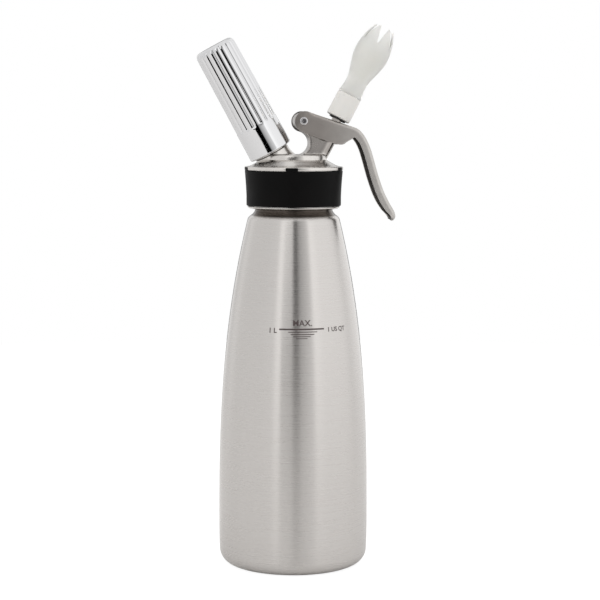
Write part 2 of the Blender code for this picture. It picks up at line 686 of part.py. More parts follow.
def make_gasket(parent):
    return ring("head_gasket", GASKET_IN_R, GASKET_R, GASKET_Z, GASKET_Z + GASKET_H, parent,
                "seal_rubber", SIDES_LARGE)


def flute_depth(turn, height):
    """How deep the holder's side is hollowed at an angle and a height."""
    stop = HOLDER_LEN - FLUTE_STOP_BELOW_TOP
    inside = min(height - FLUTE_START, stop - height)
    if inside <= 0:
        return 0.0
    ends = min(1.0, inside / FLUTE_END)
    wave = 0.5 + 0.5 * math.cos((turn - FLUTE_ANGLE) * FLUTE_COUNT)
    return FLUTE_DEPTH * math.sqrt(ends) * wave


def make_holder(charger):
    bore = POST_THREAD_R + CHARGER_RIDGE_H + RUN_GAP
    cell = CHARGER_R + FIT_GAP
    cell_top = NECK_TIP + CHARGER_LEN + FIT_GAP
    bore_top = POST_TOP + RUN_GAP
    stop = HOLDER_LEN - FLUTE_STOP_BELOW_TOP
    heights = [stop, stop - FLUTE_END / 4, stop - FLUTE_END, FLUTE_START + FLUTE_END,
               FLUTE_START + FLUTE_END / 4, FLUTE_START, HOLDER_FOOT_ROUND]
    top_centre = (HOLDER_TOP_R - HOLDER_TOP_ROUND, HOLDER_LEN - HOLDER_TOP_ROUND)
    outline = [(0, HOLDER_LEN)] + arc(top_centre, HOLDER_TOP_ROUND, 90, 30, 3)
    for height in heights:
        share = height / HOLDER_LEN
        outline.append((HOLDER_FOOT_R + (HOLDER_TOP_R - HOLDER_FOOT_R) * share, height))
    outline += [(HOLDER_FOOT_R - HOLDER_FOOT_ROUND, 0), (bore, 0), (bore, bore_top),
                (cell, bore_top)]
    outline += arc((0, cell_top - cell), cell, 0, 90, 4)
    holder = turned("charger_holder", outline, charger, "polished_chrome",
                    FLUTE_COUNT * FLUTE_SIDES, start=FLUTE_ANGLE)
    for vert in holder.data.vertices:
        radius = math.hypot(vert.co.x, vert.co.y)
        if radius > bore + FIT_GAP:
            depth = flute_depth(math.atan2(vert.co.y, vert.co.x), vert.co.z)
            vert.co.x *= 1 - depth / radius
            vert.co.y *= 1 - depth / radius
    join(holder, ridge("holder_thread", bore + EMBED, POST_THREAD_R + RUN_GAP, CHARGER_RIDGE_W,
                       POST_THREAD_START + CHARGER_PITCH / 2, HOLDER_THREAD_TURNS, CHARGER_PITCH,
                       charger, POST_THREAD_SIDES))
    return holder


def make_charger(charger):
    """The steel gas cartridge, neck down, already pierced, so that its hollow is open."""
    neck_top = NECK_TIP + CHARGER_NECK_LEN
    body = neck_top + CHARGER_SHOULDER_LEN
    top = NECK_TIP + CHARGER_LEN
    inner = CHARGER_R - CHARGER_WALL
    outline = arc((0, top - CHARGER_R), CHARGER_R, 90, 0, 5)
    outline += [(CHARGER_R, body), (CHARGER_NECK_R, neck_top), (CHARGER_NECK_R, NECK_TIP),
                (CHARGER_HOLE_R, NECK_TIP), (CHARGER_HOLE_R, neck_top), (inner, body)]
    outline += arc((0, top - CHARGER_R), inner, 0, 90, 5)
    return turned("gas_charger", outline, charger, "charger_steel")


def make_pin_and_seal(charger):
    seal_low = NECK_POCKET_BOTTOM + FIT_GAP
    ring("charger_seal", CHARGER_SEAL_HOLE_R, CHARGER_NECK_R, seal_low, seal_low + CHARGER_SEAL_H,
         charger, "seal_rubber", SIDES_SMALL)
    tip = NECK_TIP + PIN_REACH
    plug_top = NECK_POCKET_BOTTOM
    outline = [(PIN_BORE_R, tip), (PIN_R, tip - PIN_TIP_LEN), (PIN_R, plug_top - PIN_SLOT_DEPTH),
               (PIN_PLUG_R, plug_top - PIN_SLOT_DEPTH), (PIN_PLUG_R, plug_top - PIN_PLUG_LEN),
               (PIN_BORE_R, plug_top - PIN_PLUG_LEN)]
    return turned("piercing_pin", outline, charger, "charger_steel", SIDES_SMALL, closed=True)


def make_check_valve(charger):
    chamber_top = NECK_POCKET_BOTTOM - PIN_PLUG_LEN - FIT_GAP - ORIFICE_LEN
    face = chamber_top - FIT_GAP
    back = face - POPPET_H
    poppet = [(0, face), (POPPET_R, face), (POPPET_R, back), (POPPET_STEM_R, back),
              (POPPET_STEM_R, back - POPPET_STEM_LEN), (0, back - POPPET_STEM_LEN)]
    turned("check_valve_poppet", poppet, charger, "seal_rubber", SIDES_SMALL)
    cage_low = -CHECK_BOSS_BOTTOM + FIT_GAP
    cage_high = cage_low + CAGE_H
    ring("check_valve_cage", CAGE_HOLE_R, CHECK_CHAMBER_R - FIT_GAP, cage_low, cage_high, charger,
         "charger_steel", SIDES_SMALL)
    coil("check_valve_spring", CHECK_COIL_R, CHECK_WIRE_R, cage_high + FIT_GAP, back - FIT_GAP,
         CHECK_COIL_TURNS, charger)


def make_piston(spout):
    """The hollow valve stem, put in from below: head, relief, O-ring grooves, spring seat, thread."""
    seal_top = SEAT_T - FIT_GAP
    head_top = seal_top - SEAT_SEAL_H - FIT_GAP
    head_low = head_top - VALVE_HEAD_H
    relief_top = SEAT_T + RELIEF_LEN
    groove_r = STEM_BORE_R - O_RING_GROOVE_GAP - 2 * O_RING_WIRE_R - O_RING_GROOVE_GAP
    groove_half = O_RING_WIRE_R + O_RING_GROOVE_GAP
    grooves = []
    for number in range(2):
        middle = POCKET_T - O_RING_BELOW_POCKET - number * O_RING_SPACING
        grooves += [(STEM_R, middle + groove_half), (groove_r, middle + groove_half),
                    (groove_r, middle - groove_half), (STEM_R, middle - groove_half)]
        o_ring(("piston_o_ring_upper", "piston_o_ring_lower")[number],
               STEM_BORE_R - O_RING_GROOVE_GAP, O_RING_WIRE_R, middle, spout)
    clip_low = CLIP_BOTTOM - FIT_GAP / 2
    clip_high = CLIP_BOTTOM + CLIP_H + FIT_GAP / 2
    shoulder = CAP_BOTTOM - FIT_GAP
    channel_low = SEAT_T + CROSS_HOLE_R
    outline = [(CHANNEL_R, STEM_TOP), (STEM_THREAD_R, STEM_TOP), (STEM_THREAD_R, 0),
               (STEM_TOP_R, 0), (STEM_TOP_R, clip_high), (CLIP_GROOVE_R, clip_high),
               (CLIP_GROOVE_R, clip_low), (STEM_TOP_R, clip_low), (STEM_TOP_R, shoulder),
               (STEM_R, shoulder)]
    outline += grooves
    outline += [(STEM_R, relief_top), (RELIEF_R, relief_top - RELIEF_R / 4), (RELIEF_R, head_top),
                (VALVE_HEAD_R, head_top), (VALVE_HEAD_R, head_low), (0, head_low)]
    outline = [(0, channel_low), (CHANNEL_R, channel_low)] + outline
    piston = turned("valve_piston", outline, spout, "cast_steel", SIDES_SMALL)
    cross = rod("cross_hole", CROSS_HOLE_R, -STEM_R, STEM_R, spout, sides=SIDES_RING)
    cross.location = (0, 0, channel_low + CROSS_HOLE_R + FIT_GAP)
    cross.rotation_euler = (math.pi / 2, 0, 0)
    cut(piston, cross)
    join(piston, ridge("stem_thread", STEM_THREAD_R - EMBED / 2, STEM_THREAD_R + TIP_RIDGE_H,
                       TIP_RIDGE_W, STEM_THREAD_START, STEM_THREAD_TURNS, TIP_PITCH, spout,
                       STEM_THREAD_SIDES))
    ring("seat_seal", RELIEF_R + FIT_GAP, SEAT_SEAL_R, seal_top - SEAT_SEAL_H, seal_top, spout,
         "seal_rubber", SIDES_SMALL)
    return piston


def make_return_parts(spout):
    """Return spring, the cap that the lever presses, and the clip that keeps the cap on."""
    coil("return_spring", SPRING_COIL_R, SPRING_WIRE_R, POCKET_T + FIT_GAP, CAP_BOTTOM - FIT_GAP,
         SPRING_TURNS, spout)
    ring("spring_cap", STEM_TOP_R + FIT_GAP / 2, CAP_R, CAP_BOTTOM, CAP_TOP, spout,
         "pressed_steel", SIDES_MEDIUM)
    clip = ring("retaining_clip", CLIP_GROOVE_R + FIT_GAP / 2, CLIP_R, CLIP_BOTTOM,
                CLIP_BOTTOM + CLIP_H, spout, "spring_steel", SIDES_SMALL)
    reach = CLIP_R + OVERRUN
    half = reach * math.tan(CLIP_OPEN_ANGLE / 2)
    mouth = plate("clip_mouth", [(0, -half), (reach, -half), (reach, half), (0, half)], CLIP_H * 2,
                  spout)
    mouth.location = (0, 0, CLIP_BOTTOM + CLIP_H / 2)
    mouth.rotation_euler = (math.pi / 2, 0, 0)
    cut(clip, mouth)
    return clip


def web_point(along, below):
    """(x, z) from the hinge of a point on the lever's web: distance along it, depth below its top."""
    x = along * math.cos(WEB_TILT) + (LEVER_EAR_R - below) * math.sin(WEB_TILT)
    z = -along * math.sin(WEB_TILT) + (LEVER_EAR_R - below) * math.cos(WEB_TILT)
    return (x, z)


def handle_points(inset):
    """The handle's outer line, moved towards the bottle by inset."""
    start = web_point(WEB_LEN, 0)
    line = [Vector((start[0] + HANDLE_REACH * x, start[1] - HANDLE_DROP * z))
            for x, z in HANDLE_OUTER_SHARES]
    moved = []
    for number, place in enumerate(line):
        before = line[max(0, number - 1)]
        after = line[min(len(line) - 1, number + 1)]
        along = (after - before).normalized()
        moved.append(tuple(place + Vector((along.y, -along.x)) * inset))
    return moved


def handle_end(pivot):
    """A cutter that leaves the handle's end rounded across its width."""
    line = [Vector(place) for place in handle_points(0)]
    run = (line[-3] - line[-7]).normalized()
    half = LEVER_HALF + FIT_GAP
    shape = []
    for step in range(HANDLE_TIP_STEPS + 1):
        turn = math.pi * step / HANDLE_TIP_STEPS
        shape.append((half * math.cos(turn), HANDLE_TIP_LEN * (math.sin(turn) - 1)))
    far = LEVER_HALF + OVERRUN
    back = -HANDLE_TIP_LEN
    shape += [(-far, back), (-far, LEVER_HALF), (far, LEVER_HALF), (far, back)]
    made = plate("handle_end", shape, HANDLE_FLANGE * 2, pivot)
    tip = line[-1] + run * FIT_GAP
    made.location = (tip.x, 0, tip.y)
    axes = Matrix(((0, -run.y, run.x), (1, 0, 0), (0, run.x, run.y)))
    made.rotation_euler = axes.to_euler()
    return made


def make_lever(pivot):
    """A U-shaped pressing: ears at the hinge, cheeks beside the valve, and a curved handle."""
    outer = handle_points(0)
    flange_end = len(outer) - 4
    inner = handle_points(HANDLE_FLANGE)[2:flange_end]
    front = web_point(WEB_LEN - CHEEK_FRONT / 2, CHEEK_DEPTH)
    ears = web_point(LEVER_EAR_SHIFT, LEVER_EAR_R)
    outline = [web_point(LEVER_EAR_SHIFT, 0)] + outer
    outline += list(reversed(inner))
    outline += [web_point(WEB_LEN, CHEEK_FRONT), front,
                web_point(WEB_LEN / 2 + HINGE_BOSS_R / 2, CHEEK_DEPTH + LEVER_SHEET / 2),
                web_point(WEB_LEN / 3, CHEEK_DEPTH + LEVER_SHEET / 4)]
    outline += arc(ears, LEVER_EAR_R, 250, 90 - math.degrees(WEB_TILT), 9)[:-1]
    lever = plate("lever", outline, LEVER_HALF, pivot, "pressed_steel", bends=len(outer) - 3,
                  bend_radius=LEVER_BEND_R)
    inside = LEVER_HALF - LEVER_SHEET
    hollow = [web_point(WEB_START, LEVER_SHEET), web_point(WEB_LEN - LEVER_SHEET, LEVER_SHEET)]
    hollow += handle_points(LEVER_SHEET)[2:-3]
    hollow += [(outer[-1][0] - HANDLE_FLANGE, outer[-1][1] - HANDLE_FLANGE),
               web_point(WEB_LEN / 2, HANDLE_DROP / 2),
               web_point(-LEVER_EAR_R - OVERRUN, LEVER_EAR_R * 3),
               web_point(-LEVER_EAR_R - OVERRUN, -OVERRUN), web_point(WEB_START, -OVERRUN)]
    channel = plate("lever_channel", hollow, inside, pivot)
    cut(lever, channel, handle_end(pivot))
    pin_hole = rod("lever_pin_hole", HINGE_PIN_R + FIT_GAP, -LEVER_HALF - OVERRUN,
                   LEVER_HALF + OVERRUN, pivot, sides=SIDES_SMALL)
    pin_hole.rotation_euler = (math.pi / 2, 0, 0)
    slot_half = STEM_TOP_R + 2 * RUN_GAP
    middle = spout_local(0, WEB_UNDER + ADAPTER_RISE)
    slot = rod("stem_slot", slot_half, -LEVER_SHEET * 2, LEVER_SHEET * 3, pivot, sides=SIDES_SMALL)
    for vert in slot.data.vertices:
        vert.co.x -= STEM_SLOT_BACK if vert.co.x < -MERGE else 0
    slot.location = (middle[0], 0, middle[1])
    slot.rotation_euler = (0, DISPENSE_TILT, 0)
    cut(lever, pin_hole, slot)
    drop = spout_local(0, WEB_UNDER + ADAPTER_RISE - PUSH_BOSS_DROP)
    for number, side in enumerate((-1, 1)):
        boss = rod(f"push_boss_{number}", PUSH_BOSS_R, 0, PUSH_BOSS_LEN + EMBED, pivot,
                   sides=SIDES_RING * 2)
        boss.rotation_euler = (-side * math.pi / 2, 0, 0)
        boss.location = (drop[0], side * (inside - PUSH_BOSS_LEN), drop[1])
        join(lever, boss)
    return lever


def spout_local(across, along):
    """(x, z) from the hinge of a point given across and along the dispensing axis."""
    x, z = spout_point(across, along)
    return (x - HINGE_X, z - HINGE_Z)


def make_lever_pin(pivot):
    """A hollow-ended rivet through both ears and the casting's boss."""
    face = LEVER_HALF + FIT_GAP
    end = face + HINGE_PIN_HEAD_H
    dimple = end - HINGE_PIN_DIMPLE_DEPTH
    half = [(0, dimple), (HINGE_PIN_DIMPLE_R, dimple), (HINGE_PIN_DIMPLE_R, end),
            (HINGE_PIN_HEAD_R, end), (HINGE_PIN_HEAD_R, face), (HINGE_PIN_R, face)]
    outline = half + [(radius, -height) for radius, height in reversed(half)]
    pin = turned("lever_pin", outline, pivot, "charger_steel", SIDES_SMALL)
    pin.rotation_euler = (math.pi / 2, 0, 0)
    return pin


def make_washer(spout):
    return ring("adapter_washer", WASHER_HOLE_R, WASHER_R, -FIT_GAP - WASHER_H, -FIT_GAP, spout,
                "seal_rubber", SIDES_MEDIUM)


def make_adapter(spout):
    """The collar that screws onto the stem; the nozzle pushes onto its spigot."""
    bore = STEM_THREAD_R + TIP_RIDGE_H + RUN_GAP / 2
    bore_top = STEM_TOP + ADAPTER_THREAD_END_GAP
    spigot_top = ADAPTER_LEN + SPIGOT_LEN
    outline = [(ADAPTER_CHANNEL_R, spigot_top), (SPIGOT_R - ADAPTER_EDGE / 2, spigot_top),
               (SPIGOT_R, spigot_top - ADAPTER_EDGE), (SPIGOT_R, ADAPTER_LEN),
               (ADAPTER_R, ADAPTER_LEN), (ADAPTER_R, ADAPTER_EDGE),
               (ADAPTER_R - ADAPTER_EDGE / 2, 0), (bore, 0), (bore, bore_top),
               (ADAPTER_CHANNEL_R, bore_top)]
    adapter = turned("tip_adapter", outline, spout, "adapter_plastic", SIDES_MEDIUM, closed=True)
    join(adapter, ridge("adapter_thread", bore + EMBED / 2, STEM_THREAD_R + RUN_GAP / 2,
                        TIP_RIDGE_W, STEM_THREAD_START + TIP_PITCH / 2, ADAPTER_THREAD_TURNS,
                        TIP_PITCH, spout, STEM_THREAD_SIDES))
    return adapter


def nozzle_radius(share):
    """The tulip's outer radius at a share of its length, read between the outline's points."""
    for low, high in zip(NOZZLE_OUTER_SHARES, NOZZLE_OUTER_SHARES[1:]):
        if share <= high[0]:
            between = (share - low[0]) / (high[0] - low[0])
            return NOZZLE_BULGE_R * (low[1] + (high[1] - low[1]) * between)
    return NOZZLE_BULGE_R * NOZZLE_OUTER_SHARES[-1][1]


def make_nozzle(spout):
    socket = SPIGOT_R + FIT_GAP
    socket_top = NOZZLE_T + SPIGOT_LEN + FIT_GAP
    outline = [(nozzle_radius(share), NOZZLE_T + NOZZLE_LEN * share)
               for share, _ in NOZZLE_OUTER_SHARES]
    outline.reverse()
    outline += [(socket, NOZZLE_T), (socket, socket_top), (NOZZLE_CHANNEL_R, socket_top),
                (NOZZLE_CHANNEL_R, NOZZLE_T + NOZZLE_LEN * NOZZLE_CAVITY_START_SHARE)]
    for share in NOZZLE_CAVITY_SHARES:
        outline.append((nozzle_radius(share) - NOZZLE_WALL, NOZZLE_T + NOZZLE_LEN * share))
    nozzle = turned("nozzle", outline, spout, "nozzle_plastic", SIDES_MEDIUM + 4, closed=True)
    top = NOZZLE_T + NOZZLE_LEN
    slope = NOTCH_HALF_WIDTH / NOTCH_DEPTH
    wide = NOTCH_HALF_WIDTH + slope * OVERRUN
    notch = [(0, top - NOTCH_DEPTH), (wide, top + OVERRUN), (-wide, top + OVERRUN)]
    for number in range(PETAL_COUNT // 2):
        wedge = plate(f"petal_notch_{number}", notch, NOZZLE_BULGE_R + OVERRUN, spout)
        wedge.rotation_euler = (0, 0, NOTCH_ANGLE + math.pi / 2 + math.tau * number / PETAL_COUNT)
        cut(nozzle, wedge)
    return nozzle


clear_scene()
bottle_axis = axis_empty("bottle_axis", (0, 0, 0), 0)
charger_axis = axis_empty("charger_axis", (HOLDER_X, 0, HOLDER_Z), CHARGER_TILT, bottle_axis)
adapter_x, adapter_z = spout_point(0, ADAPTER_RISE)
spout_axis = axis_empty("spout_axis", (adapter_x, 0, adapter_z), DISPENSE_TILT, bottle_axis)
lever_pivot = axis_empty("lever_pivot", (HINGE_X, 0, HINGE_Z), 0, bottle_axis)
make_bottle(bottle_axis)
make_head(bottle_axis, charger_axis, spout_axis)
make_band(bottle_axis)
make_gasket(bottle_axis)
make_holder(charger_axis)
make_charger(charger_axis)
make_pin_and_seal(charger_axis)
make_check_valve(charger_axis)
make_piston(spout_axis)
make_return_parts(spout_axis)
make_lever(lever_pivot)
make_lever_pin(lever_pivot)
make_washer(spout_axis)
make_adapter(spout_axis)
make_nozzle(spout_axis)
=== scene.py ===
"""A one-litre whipped cream dispenser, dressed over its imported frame.

Sizes are in millimetres, and are scaled to metres where a piece is put in its place. +Z runs up the
bottle, the printed mark faces -Y, the charger holder leans to -X and the nozzle to +X."""

import json
import math

import bmesh
import bpy
from mathutils import Matrix, Vector


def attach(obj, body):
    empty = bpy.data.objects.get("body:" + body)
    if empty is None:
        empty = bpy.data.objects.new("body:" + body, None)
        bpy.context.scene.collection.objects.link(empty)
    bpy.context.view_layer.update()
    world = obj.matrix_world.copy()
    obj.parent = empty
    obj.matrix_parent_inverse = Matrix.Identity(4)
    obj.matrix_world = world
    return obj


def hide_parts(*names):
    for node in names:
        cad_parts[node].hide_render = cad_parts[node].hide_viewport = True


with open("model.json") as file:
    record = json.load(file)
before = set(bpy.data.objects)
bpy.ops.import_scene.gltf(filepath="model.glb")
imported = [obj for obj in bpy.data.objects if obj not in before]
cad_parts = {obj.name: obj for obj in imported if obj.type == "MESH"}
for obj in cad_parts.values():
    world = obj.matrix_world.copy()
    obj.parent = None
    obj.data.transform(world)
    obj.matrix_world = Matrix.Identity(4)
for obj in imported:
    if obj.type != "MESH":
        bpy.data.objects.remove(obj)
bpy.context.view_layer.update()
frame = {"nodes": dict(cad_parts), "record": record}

# Shared values
FIT = 0.3  # between pieces that touch
MERGE = 1e-4  # points closer than this are one point
CUT_PAST = 2.0  # how far a cutter runs past what it cuts
THREAD_SIDES = 72
RUN_OUT = 0.25  # the share of a turn over which a thread's ridge rises and falls
RIDGE_ENDS = 0.3  # how high the ridge is at its very ends, as a share of its height

# Bottle
BODY_R = 48.0
BELLY = 26.0  # the side draws in above this height
BELLY_START = 17.0
SHOULDER = 222.4
SHOULDER_R = 29.6
TAPER = 2.6
SHOULDER_ROUND = 4.5
SHOULDER_STOP = 58.0  # degrees above level, where the shoulder meets the neck's foot
FOOT_ROUND = 9.0
DRAFT = 0.4
WALL = 0.9
BASE_WALL = 1.7
BASE_GROOVE = ((24.6, 0), (25.2, 0.12), (25.8, 0.8), (34.6, 0.8), (35.3, 0.12), (35.9, 0))
NECK_R = 24.8
NECK_IN_R = 23.2
NECK_FOOT = 227.8
NECK_HOLLOW = (25.4, 226.6)  # what the curve between shoulder and neck leans towards
NECK_CURVE_TOP = 0.8  # above the neck's foot
NECK_INSIDE_FOOT = 1.2  # below the neck's foot
MOUTH = 249.6
MOUTH_ROUND = 0.6
BOTTLE_SIDES = 168
TAPER_STEPS = 56

# Threads
NECK_PITCH = 4.0
NECK_RIDGE_W = 1.5
NECK_RIDGE_H = 1.2
NECK_ROOT = 0.4  # how deep the ridge's root is sunk
NECK_THREAD_UP = 4.0  # from the neck's foot to where the ridge starts
NECK_TURNS = 2.75
HEAD_THREAD_UP = 6.0
HEAD_TURNS = 2.5
HEAD_RIDGE_GAP = 0.4  # between the head's ridge and the neck's side
CHARGER_PITCH = 2.5
CHARGER_RIDGE_W = 1.1
CHARGER_RIDGE_H = 0.7
CHARGER_ROOT = 0.3
POST_THREAD_UP = 2.2
POST_TURNS = 3.6
HOLDER_THREAD_UP = 3.45
HOLDER_TURNS = 3.2

# Head
SKIRT_FOOT = 229.8
SKIRT_R = 28.2
SKIRT_BORE_R = 26.4
SKIRT_LIP_R = 29.0
SKIRT_LIP = 1.4
LIP_ROUND = 0.4
RIM_R = 31.5
RIM_FOOT = 254.2
RIM_TOP = 256.5
RIM_ROUND = 0.6
RIM_BREAK = (31.0, 256.4)  # where the dome ends and the rim's round begins
RIM_DROP = 0.15  # from the rim's top to the top of its round
RIM_UNDER_ROUND = 0.5
DOME_FOOT_R = 30.3
DOME_TOP_R = 20.6
DOME_TOP = 260.7
DOME_SAG = 4.0
DOME_STEPS = 14
PLATEAU_R = 20.0
PLATEAU = 264.0
PLATEAU_ROUND = 1.0
PLATEAU_SIDE = 260.0  # down to here the side is straight
PLATEAU_FOOT_R = 18.6
CAVITY_R = 21.8
CAVITY_LIP = 1.2
CAVITY_TOP_R = 17.0
CAVITY_TOP = 259.5
DOME_INSIDE = 260.3
GASKET_SEAT = 251.8
KEYS = 5
KEY_ANGLE = -101.0
KEY = (1.5, 7.2, 2.1)
KEY_INSET = 0.95
KEY_RISE = 0.55  # from the rim's foot to the key's middle
KEY_EDGE = 0.3
NOTCH = (3.7, 7.8, 3.9)
NOTCH_RISE = 0.05
NOTCH_EDGE = 0.4
HEAD_SIDES = 180
SLAB_SIDES = 120
POST_SIDES = 96
BORE_SIDES = 72
BOSS_SIDES = 64
HOLE_SIDES = 48

# Charger post, measured up the holder's axis from the holder's open end
POST_R = 11.3
POST_TOP = -0.6
POST_EDGE = 0.4
POST_FLARE = -3.2
POST_FLARE_R = 13.2
POST_HOLLOW = (11.4, -6.0)  # what the flare's curve leans towards
POST_FOOT = -9.5
POST_NECK_R = 10.2
POST_NECK_TOP = 13.0
POST_NECK_EDGE = 0.6
NECK_POCKET_R = 4.7
CHECK_BOSS_R = 5.8
CHECK_BOSS_FOOT = -12.2
CHECK_CHAMBER_R = 3.4
CHECK_CHAMBER_TOP = -2.0

# Arm, hinge and spout
HINGE_X = 5.1
HINGE_Z = 285.3
LEVER_ARM = 19.6  # from the hinge to the dispensing axis
SPOUT_TILT = math.radians(28.0)
HOLDER_TILT = math.radians(-29.0)
ARM_HALF = 6.03
ARM_NOSE_R = 5.4
ARM_NOSE_STEP_R = 4.1
ARM_HOOK = (2.2, 271.4)
ARM_HOOK_R = 7.4
ARM_ROOT = 2.25  # below the flat top
ARM_FRONT = ((0, -15.0), (0, -4.4), (-5.5, -4.4), (-5.5, -0.4), (-6.3, 0.1), (-12.8, 4.1))
BOSS_R = 4.6
BOSS_HALF = 6.1
BOSS_EDGE = 0.4
PIN_HOLE_R = 2.2
PIN_HOLE_HALF = 12.0
SPOUT_R = 6.05
SPOUT_LEN = 15.0
SPOUT_TOP = 0.1  # above the hinge's level, along the dispensing axis
SPOUT_EDGE = (0.45, 0.4)  # across and down
SEAT_DEPTH = 20.8
SEAT_BOSS_R = 7.8
SEAT_BOSS_EDGE = 0.6
SEAT_ROOM_R = 7.2
SEAT_ROOM_LEN = 11.2
STEM_BORE_R = 3.9
SPRING_POCKET_R = 5.0
SPRING_POCKET_DEPTH = 4.0

# Lever
EAR_R = 6.6
EAR_SHIFT = 1.0
LEVER_HALF = 8.0
SHEET = 1.6
WEB_TILT = math.radians(18.2)
WEB_LEN = 31.6
WEB_START = 1.8

# Adapter
ADAPTER_R = 8.0
ADAPTER_LEN = 16.0
ADAPTER_WEB_GAP = 1.2

# Where the turned pieces stand: each of these takes a mesh in millimetres to its place in metres
BOTTLE = Matrix.Scale(0.001, 4)
CHARGER = BOTTLE @ Matrix.Translation((-14.8, 0, 266.0)) @ Matrix.Rotation(HOLDER_TILT, 4, "Y")
SPOUT = BOTTLE @ Matrix.Translation((28.352, 0, 287.281)) @ Matrix.Rotation(SPOUT_TILT, 4, "Y")
HINGE = BOTTLE @ Matrix.Translation((HINGE_X, 0, HINGE_Z))
CROSSWAYS = Matrix.Rotation(math.radians(90.0), 4, "X")
TO_MM = BOTTLE.inverted()


# Shapes

def arc(centre, radius, start, stop, steps):
    """Points on an arc, both ends included; angles in degrees from +x towards +z."""
    points = []
    for step in range(steps + 1):
        turn = math.radians(start + (stop - start) * step / steps)
        points.append((centre[0] + radius * math.cos(turn), centre[1] + radius * math.sin(turn)))
    return points


def bend(start, corner, stop, steps=8):
    """Points on a curve from start to stop that leans towards corner, without its first point."""
    points = []
    for step in range(1, steps + 1):
        t = step / steps
        points.append(tuple((1 - t) ** 2 * a + 2 * t * (1 - t) * b + t * t * c
                            for a, b, c in zip(start, corner, stop)))
    return points


def through(points, steps):
    """A smooth line through the points, with that many steps from each to the next."""
    line = [Vector(point) for point in points]
    padded = [2 * line[0] - line[1]] + line + [2 * line[-1] - line[-2]]
    smooth = []
    for a, b, c, d in zip(padded, padded[1:], padded[2:], padded[3:]):
        for step in range(steps):
            t = step / steps
            smooth.append(0.5 * (2 * b + (c - a) * t + (2 * a - 5 * b + 4 * c - d) * t ** 2
                                 + (3 * b - a - 3 * c + d) * t ** 3))
    return smooth + [line[-1]]


def clean(bm):
    bmesh.ops.remove_doubles(bm, verts=bm.verts, dist=MERGE)
    bmesh.ops.recalc_face_normals(bm, faces=bm.faces)
    return bm


def lathe(outline, sides, closed=False, start=0.0):
    """Spins (radius, height) points round Z; an outline that isn't closed begins and ends on it."""
    bm = bmesh.new()
    verts = [bm.verts.new((radius * math.cos(start), radius * math.sin(start), height))
             for radius, height in outline]
    edges = [bm.edges.new(pair) for pair in zip(verts, verts[1:])]
    if closed:
        edges.append(bm.edges.new((verts[-1], verts[0])))
    bmesh.ops.spin(bm, geom=verts + edges, cent=(0, 0, 0), axis=(0, 0, 1), angle=math.tau,
                   steps=sides, use_merge=True)
    return clean(bm)


def thread(root, crest, width, start, turns, pitch):
    """A helical ridge with a rounded crest and ends that run out; root may be outside the crest."""
    bm = bmesh.new()
    shares = ((-0.5, 0.0), (-0.34, 0.7), (-0.16, 1.0), (0.16, 1.0), (0.34, 0.7), (0.5, 0.0))
    verts = [bm.verts.new((root + (crest - root) * rise, 0, start + width * along))
             for along, rise in shares]
    edges = [bm.edges.new(pair) for pair in zip(verts, verts[1:] + verts[:1])]
    bmesh.ops.spin(bm, geom=verts + edges, cent=(0, 0, 0), axis=(0, 0, 1),
                   dvec=(0, 0, pitch / THREAD_SIDES), angle=math.tau * turns,
                   steps=round(turns * THREAD_SIDES))
    bmesh.ops.holes_fill(bm, edges=[edge for edge in bm.edges if edge.is_boundary])
    for vert in bm.verts:
        radius = math.hypot(vert.co.x, vert.co.y)
        along = (vert.co.z - start) / pitch
        ends = min(along, turns - along) / RUN_OUT + RIDGE_ENDS
        wanted = root + (radius - root) * max(0.0, min(1.0, ends))
        vert.co.x *= wanted / radius
        vert.co.y *= wanted / radius
    return clean(bm)


def plate(outline, half):
    """Extrudes (x, z) points to half a width on each side of the XZ plane."""
    bm = bmesh.new()
    face = bm.faces.new([bm.verts.new((x, -half, z)) for x, z in outline])
    made = bmesh.ops.extrude_face_region(bm, geom=[face], use_keep_orig=True)
    far = [item for item in made["geom"] if isinstance(item, bmesh.types.BMVert)]
    bmesh.ops.translate(bm, vec=(0, 2 * half, 0), verts=far)
    return clean(bm)


def soften(bm, width, limit=35.0):
    """Rounds the edges that are sharper than limit, in degrees."""
    sharp = [edge for edge in bm.edges
             if edge.is_manifold and edge.calc_face_angle() > math.radians(limit)]
    bmesh.ops.bevel(bm, geom=sharp, offset=width, segments=3, profile=0.5, affect="EDGES",
                    material=-1, clamp_overlap=True)
    return bm


def moved(bm, matrix):
    bmesh.ops.transform(bm, matrix=matrix, verts=bm.verts)
    return bm


def merged(*shapes):
    """One mesh of several, not yet joined to each other."""
    whole = bmesh.new()
    for shape in shapes:
        part = bpy.data.meshes.new("part")
        shape.to_mesh(part)
        shape.free()
        whole.from_mesh(part)
        bpy.data.meshes.remove(part)
    return whole


def worked(bm, *steps, cutters=()):
    """The mesh after modifiers, each a type and its settings, and after cutters are taken out."""
    objects = []
    for shape in (bm, *cutters):
        mesh = bpy.data.meshes.new("work")
        shape.to_mesh(mesh)
        shape.free()
        objects.append(bpy.data.objects.new("work", mesh))
        bpy.context.collection.objects.link(objects[-1])
    target = objects[0]
    for kind, settings in steps:
        step = target.modifiers.new(kind, kind)
        for name, value in settings.items():
            setattr(step, name, value)
    for cutter in objects[1:]:
        step = target.modifiers.new("cut", "BOOLEAN")
        step.operation = "DIFFERENCE"
        step.solver = "EXACT"
        step.object = cutter
    graph = bpy.context.evaluated_depsgraph_get()
    result = bmesh.new()
    result.from_object(target, graph)
    for old in objects:
        mesh = old.data
        bpy.data.objects.remove(old)
        bpy.data.meshes.remove(mesh)
    return result


def cast(*shapes, grain, rounds):
    """Melts overlapping shapes into one skin, with its inner corners filled as a casting's are."""
    skin = worked(merged(*shapes), ("REMESH", {"mode": "VOXEL", "voxel_size": grain}))
    for _ in range(rounds):
        bmesh.ops.smooth_vert(skin, verts=skin.verts, factor=0.5, use_axis_x=True,
                              use_axis_y=True, use_axis_z=True)
    return skin


# Materials

